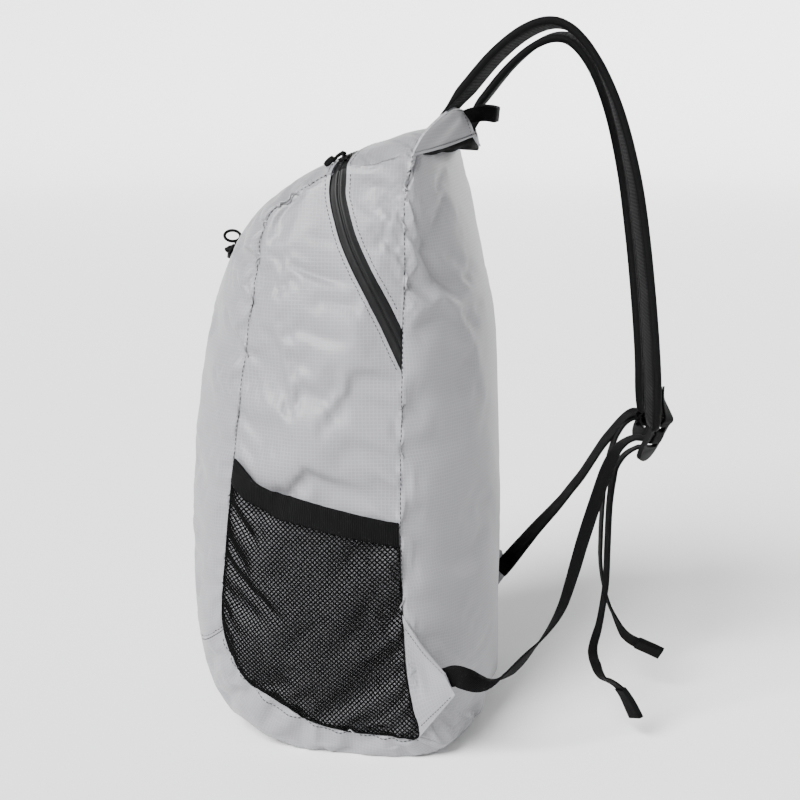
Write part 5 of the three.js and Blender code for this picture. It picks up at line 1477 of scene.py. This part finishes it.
loop_places = [beside_main(*at) for at in (
    (-1.2, 0, 3.2), (0.5, 1.4, 4.0), (4.3, 2.3, 3.4), (7.4, 1.5, 2.0),
    (8.2, 0, 1.7), (7.4, -1.5, 2.0), (4.3, -2.3, 3.4), (0.5, -1.4, 4.0))]
cord = tube_loop("main_zip_cord_braid", loop_places, 1.15, braided_cord)
finished(cord, ["main_zip_cord"], 60)

bpy.ops.object.select_all(action="DESELECT")
bpy.ops.mesh.primitive_cube_add(size=1)
grip = bpy.context.object
grip.name = grip.data.name = "main_zip_grip"
bpy.ops.object.mode_set(mode="EDIT")
bpy.ops.transform.resize(value=(8.0, 6.6, 4.4))
bpy.ops.mesh.subdivide(number_cuts=2)
bpy.ops.object.mode_set(mode="OBJECT")
co = read_array(grip.data.vertices, "co")
co[:, 1:] *= (1 - 0.24 * np.clip(np.abs(co[:, :1]) / 4 - 0.34, 0, 1) * 1.5)
grip_place = beside_main(10.9, 0, 2.4)
grip_along = unit(main_forward * 0.94 - main_up * 0.34)
grip_basis = np.stack([grip_along, main_along, np.cross(grip_along, main_along)], axis=0)
grip.data.vertices.foreach_set("co", ((co @ grip_basis + grip_place) * MM).ravel())
grip.data.materials.append(acetal)
apply_modifier(grip, "SUBSURF", levels=2, render_levels=2)
finished(grip, ["main_zip_pull"], 60)
print("slider at mm:", np.round(main_place, 1))

# %% Front slider and its ring
front_spot = front_zip_place(0.06, 0)
front_place = on_strip(*front_spot)
front_up = strip_normal(*front_spot)
front_along = on_strip(*front_zip_place(0.11, 0)) - front_place
front_along = unit(front_along - front_up * np.dot(front_along, front_up))
front_slider = slider_block("front_zip_slider_block", front_place + front_up * 3.4, front_along, front_up)
finished(front_slider, ["front_zip_slider"], 40)
ring_wire, ring_outer, ring_rise = 2.2, 14.0, 12.0 * 1.08
long = ring_outer / 2 - ring_wire / 2
ring_centre = front_place + [0, -ring_wire * 0.8, ring_rise]
ring_turns = np.linspace(0, 2 * math.pi, 12, endpoint=False)
ring_places = [ring_centre + [0, long * math.cos(a), long * 0.66 * math.sin(a)] for a in ring_turns]
ring = tube_loop("front_zip_ring_cord", ring_places, ring_wire / 2, braided_cord, hint=(1, 0.01, 0.02))
finished(ring, ["front_zip_ring"], 60)
neck_places = [ring_centre + [0, 2.0, -long * 0.62], ring_centre + [0.5, 3.0, -long * 1.1],
               front_place + front_up * 5.2 + [0, 0, 2.0], front_place + front_up * 4.6]
neck = tube_loop("front_zip_neck_cord", neck_places, 1.3, braided_cord, joined=False, hint=(1, 0.02, 0.03))
finished(neck, (), 60)
print("ring centre mm:", np.round(ring_centre, 1))

# %% [markdown]
# ## Stitching
# Dark thread shows as dashes along every seam. One stitch is a tiny rounded bar. It is modelled once and
# copied along each line, and all the copies are joined in one mesh.

# %% Stitch lines
stitch_shape = np.array([[-0.5, 0, 0.1], [-0.36, -0.5, 0], [0.36, -0.5, 0], [0.5, 0, 0.1],
                         [0.36, 0.5, 0], [-0.36, 0.5, 0], [-0.22, 0, 1], [0.22, 0, 1]])
stitch_faces = [[0, 1, 6], [1, 2, 7, 6], [2, 3, 7], [3, 4, 7], [4, 5, 6, 7], [5, 0, 6]]


def stitch_row(line, normal, pitch=3.1, length=2.2, width=0.55, height=0.45, wander=0.12):
    """Stitches along a line of places with their outward directions."""
    lengths = run_length(line)
    at = np.arange(pitch / 2, lengths[-1], pitch)

    def read(table, where):
        return np.stack([np.interp(where, lengths, table[:, k]) for k in range(3)], axis=-1)
    middle, up = read(line, at), unit(read(normal, at))
    along = unit(read(line, at + 0.8) - read(line, at - 0.8))
    aside = np.cross(up, along)
    middle = middle + aside * (wander * np.sin(at * 2.7))[:, None]
    shape = stitch_shape * [length, width, height]
    points = (middle[:, None] + along[:, None] * shape[None, :, :1] + aside[:, None] * shape[None, :, 1:2]
              + up[:, None] * shape[None, :, 2:])
    return points.reshape(-1, 3)


def stitched(name, rows, finish):
    points = np.vstack(rows)
    faces = [[k + i for i in face] for k in range(0, len(points), len(stitch_shape)) for face in stitch_faces]
    piece = mesh_piece(name, points, faces)
    piece.data.materials.append(finish)
    return finished(piece, (), 80)


def strip_run(rows, across, lift=0.15):
    rows, across = np.broadcast_arrays(np.asarray(rows, float), np.asarray(across, float))
    line = on_strip(rows, across)
    shifted = on_strip(rows, across - np.sign(across) * 0.03)
    along = np.gradient(line, axis=0)
    normal = unit(np.cross(along, shifted - line))
    normal *= np.sign(np.sum(normal * (line - body_centre), axis=-1, keepdims=True))
    return line + normal * lift, normal


def side_run(flat, side, lift=0.15):
    flat = np.asarray(flat, float)
    line = on_side(flat, side)
    nudge = on_side(inset_flat(flat, 2.0), side)
    normal = unit(np.cross(np.gradient(line, axis=0), nudge - line))
    normal *= np.sign(normal[:, :1] * side)
    return line + normal * lift, normal


seam_rows, zip_rows = [], []
zip_stitch = {"pitch": 2.9, "length": 1.9, "width": 0.45}
zip_stitch_offsets, zip_stitch_start, hem_lift = (-zip_half - 2.6, zip_half + 2.6), 0.02, 0.35
for side in (1, -1):
    # Along the back seam, the front seam and the base strip, on the panel beside the seam
    seam_rows.append(stitch_row(*strip_run(np.linspace(14.05, 20.9, 300), side * 0.992), pitch=3.3))
    seam_rows.append(stitch_row(*strip_run(np.linspace(5.05, 11.8, 260), side * 0.985), pitch=3.2, width=0.4))
    seam_rows.append(stitch_row(*strip_run(np.linspace(21.2, 25.9, 200), side * 0.93), pitch=3.0))
    # Beside the zip
    for offset in zip_stitch_offsets:
        flat_line = polyline_at(clipped_zip(offset, 2.5), np.linspace(zip_stitch_start, 1, 120))
        zip_rows.append(stitch_row(*side_run(flat_line, side), **zip_stitch))
for offset in zip_stitch_offsets:
    zip_rows.append(stitch_row(*strip_run(zip_edge_row(top_across, offset), top_across), **zip_stitch))
for row in (top_back + 0.06, front_low + 0.05):
    seam_rows.append(stitch_row(*strip_run(np.full(160, row), np.linspace(-0.97, 0.97, 160)), pitch=3.2))
for line in hem_lines:
    line = polyline_at(line, np.linspace(0, 1, 80))
    out = unit(line - [0, 0, body_centre[2]]) * [1, 1, 0.3]
    seam_rows.append(stitch_row(line + out * hem_lift, out, pitch=2.7, length=1.8, width=0.45))
seam_thread = stitched("seam_stitching", seam_rows, dark_thread)
zip_thread = stitched("zip_edge_stitching", zip_rows, dark_thread)
print("stitches:", (len(seam_thread.data.vertices) + len(zip_thread.data.vertices)) // len(stitch_shape))

# %% [markdown]
# ## Floor and light
# A plain pale floor curves up all round the pack, so no edge or corner shows from any side. One large
# soft light stands to the pack's right and front, and white surroundings fill in its shadows.

# %% Floor and lights
bpy.ops.object.select_all(action="DESELECT")
sweep_radius, sweep_bend, sweep_wall, bend_steps = 5.0, 1.2, 1.2, 10
bpy.ops.mesh.primitive_circle_add(vertices=96, radius=sweep_radius, fill_type="TRIFAN")
floor = bpy.context.object
floor.name = "studio_sweep"
bpy.ops.object.mode_set(mode="EDIT")
bpy.ops.mesh.select_all(action="DESELECT")
bpy.ops.object.mode_set(mode="OBJECT")
for edge in floor.data.edges:
    edge.select = all(floor.data.vertices[v].co.length > sweep_radius * 0.98 for v in edge.vertices)
bpy.ops.object.mode_set(mode="EDIT")
for step in range(bend_steps + 1):
    turn = [math.radians(90 * k / bend_steps) for k in (step, min(step + 1, bend_steps))]
    out = sweep_bend * (math.sin(turn[1]) - math.sin(turn[0]))
    rise = sweep_bend * (math.cos(turn[0]) - math.cos(turn[1])) if step < bend_steps else sweep_wall
    radius = sweep_radius + sweep_bend * math.sin(turn[0])
    bpy.ops.mesh.extrude_region_move()
    bpy.ops.transform.resize(value=[(radius + out) / radius] * 2 + [1])
    bpy.ops.transform.translate(value=(0, 0, rise))
bpy.ops.mesh.select_all(action="SELECT")
bpy.ops.mesh.normals_make_consistent(inside=True)
bpy.ops.object.mode_set(mode="OBJECT")
floor.visible_shadow = False
floor.data.shade_smooth()
floor_paper, floor_tree, floor_shader = new_finish("matte_white_paper")
floor_place = add_node(floor_tree, "ShaderNodeTexCoord").outputs["Object"]
floor_grain = add_node(floor_tree, "ShaderNodeTexNoise", Vector=floor_place, Scale=400.0)
floor_rough = add_node(floor_tree, "ShaderNodeMapRange", Value=floor_grain.outputs[0], To_Min=0.85, To_Max=0.95)
floor_tree.links.new(floor_rough.outputs[0], floor_shader.inputs["Roughness"])
floor_shader.inputs["Base Color"].default_value = linear("#f2f2f2")
floor.data.materials.append(floor_paper)

world = bpy.data.worlds.new("studio_white")
bpy.context.scene.world = world
world.use_nodes = True
world.node_tree.nodes["Background"].inputs["Color"].default_value = (1, 1, 1, 1)
world.node_tree.nodes["Background"].inputs["Strength"].default_value = 0.5


def soft_sun(name, source, strength, spread):
    data = bpy.data.lights.new(name, "SUN")
    data.energy = strength
    data.angle = math.radians(spread)
    light = linked(name, data)
    light.location = Vector(source)
    light.rotation_euler = (-Vector(source)).to_track_quat("-Z", "Y").to_euler()


soft_sun("front_softbox", (1.0, -0.5, 0.9), strength=10.0, spread=32)
print("lights:", len(bpy.data.lights))
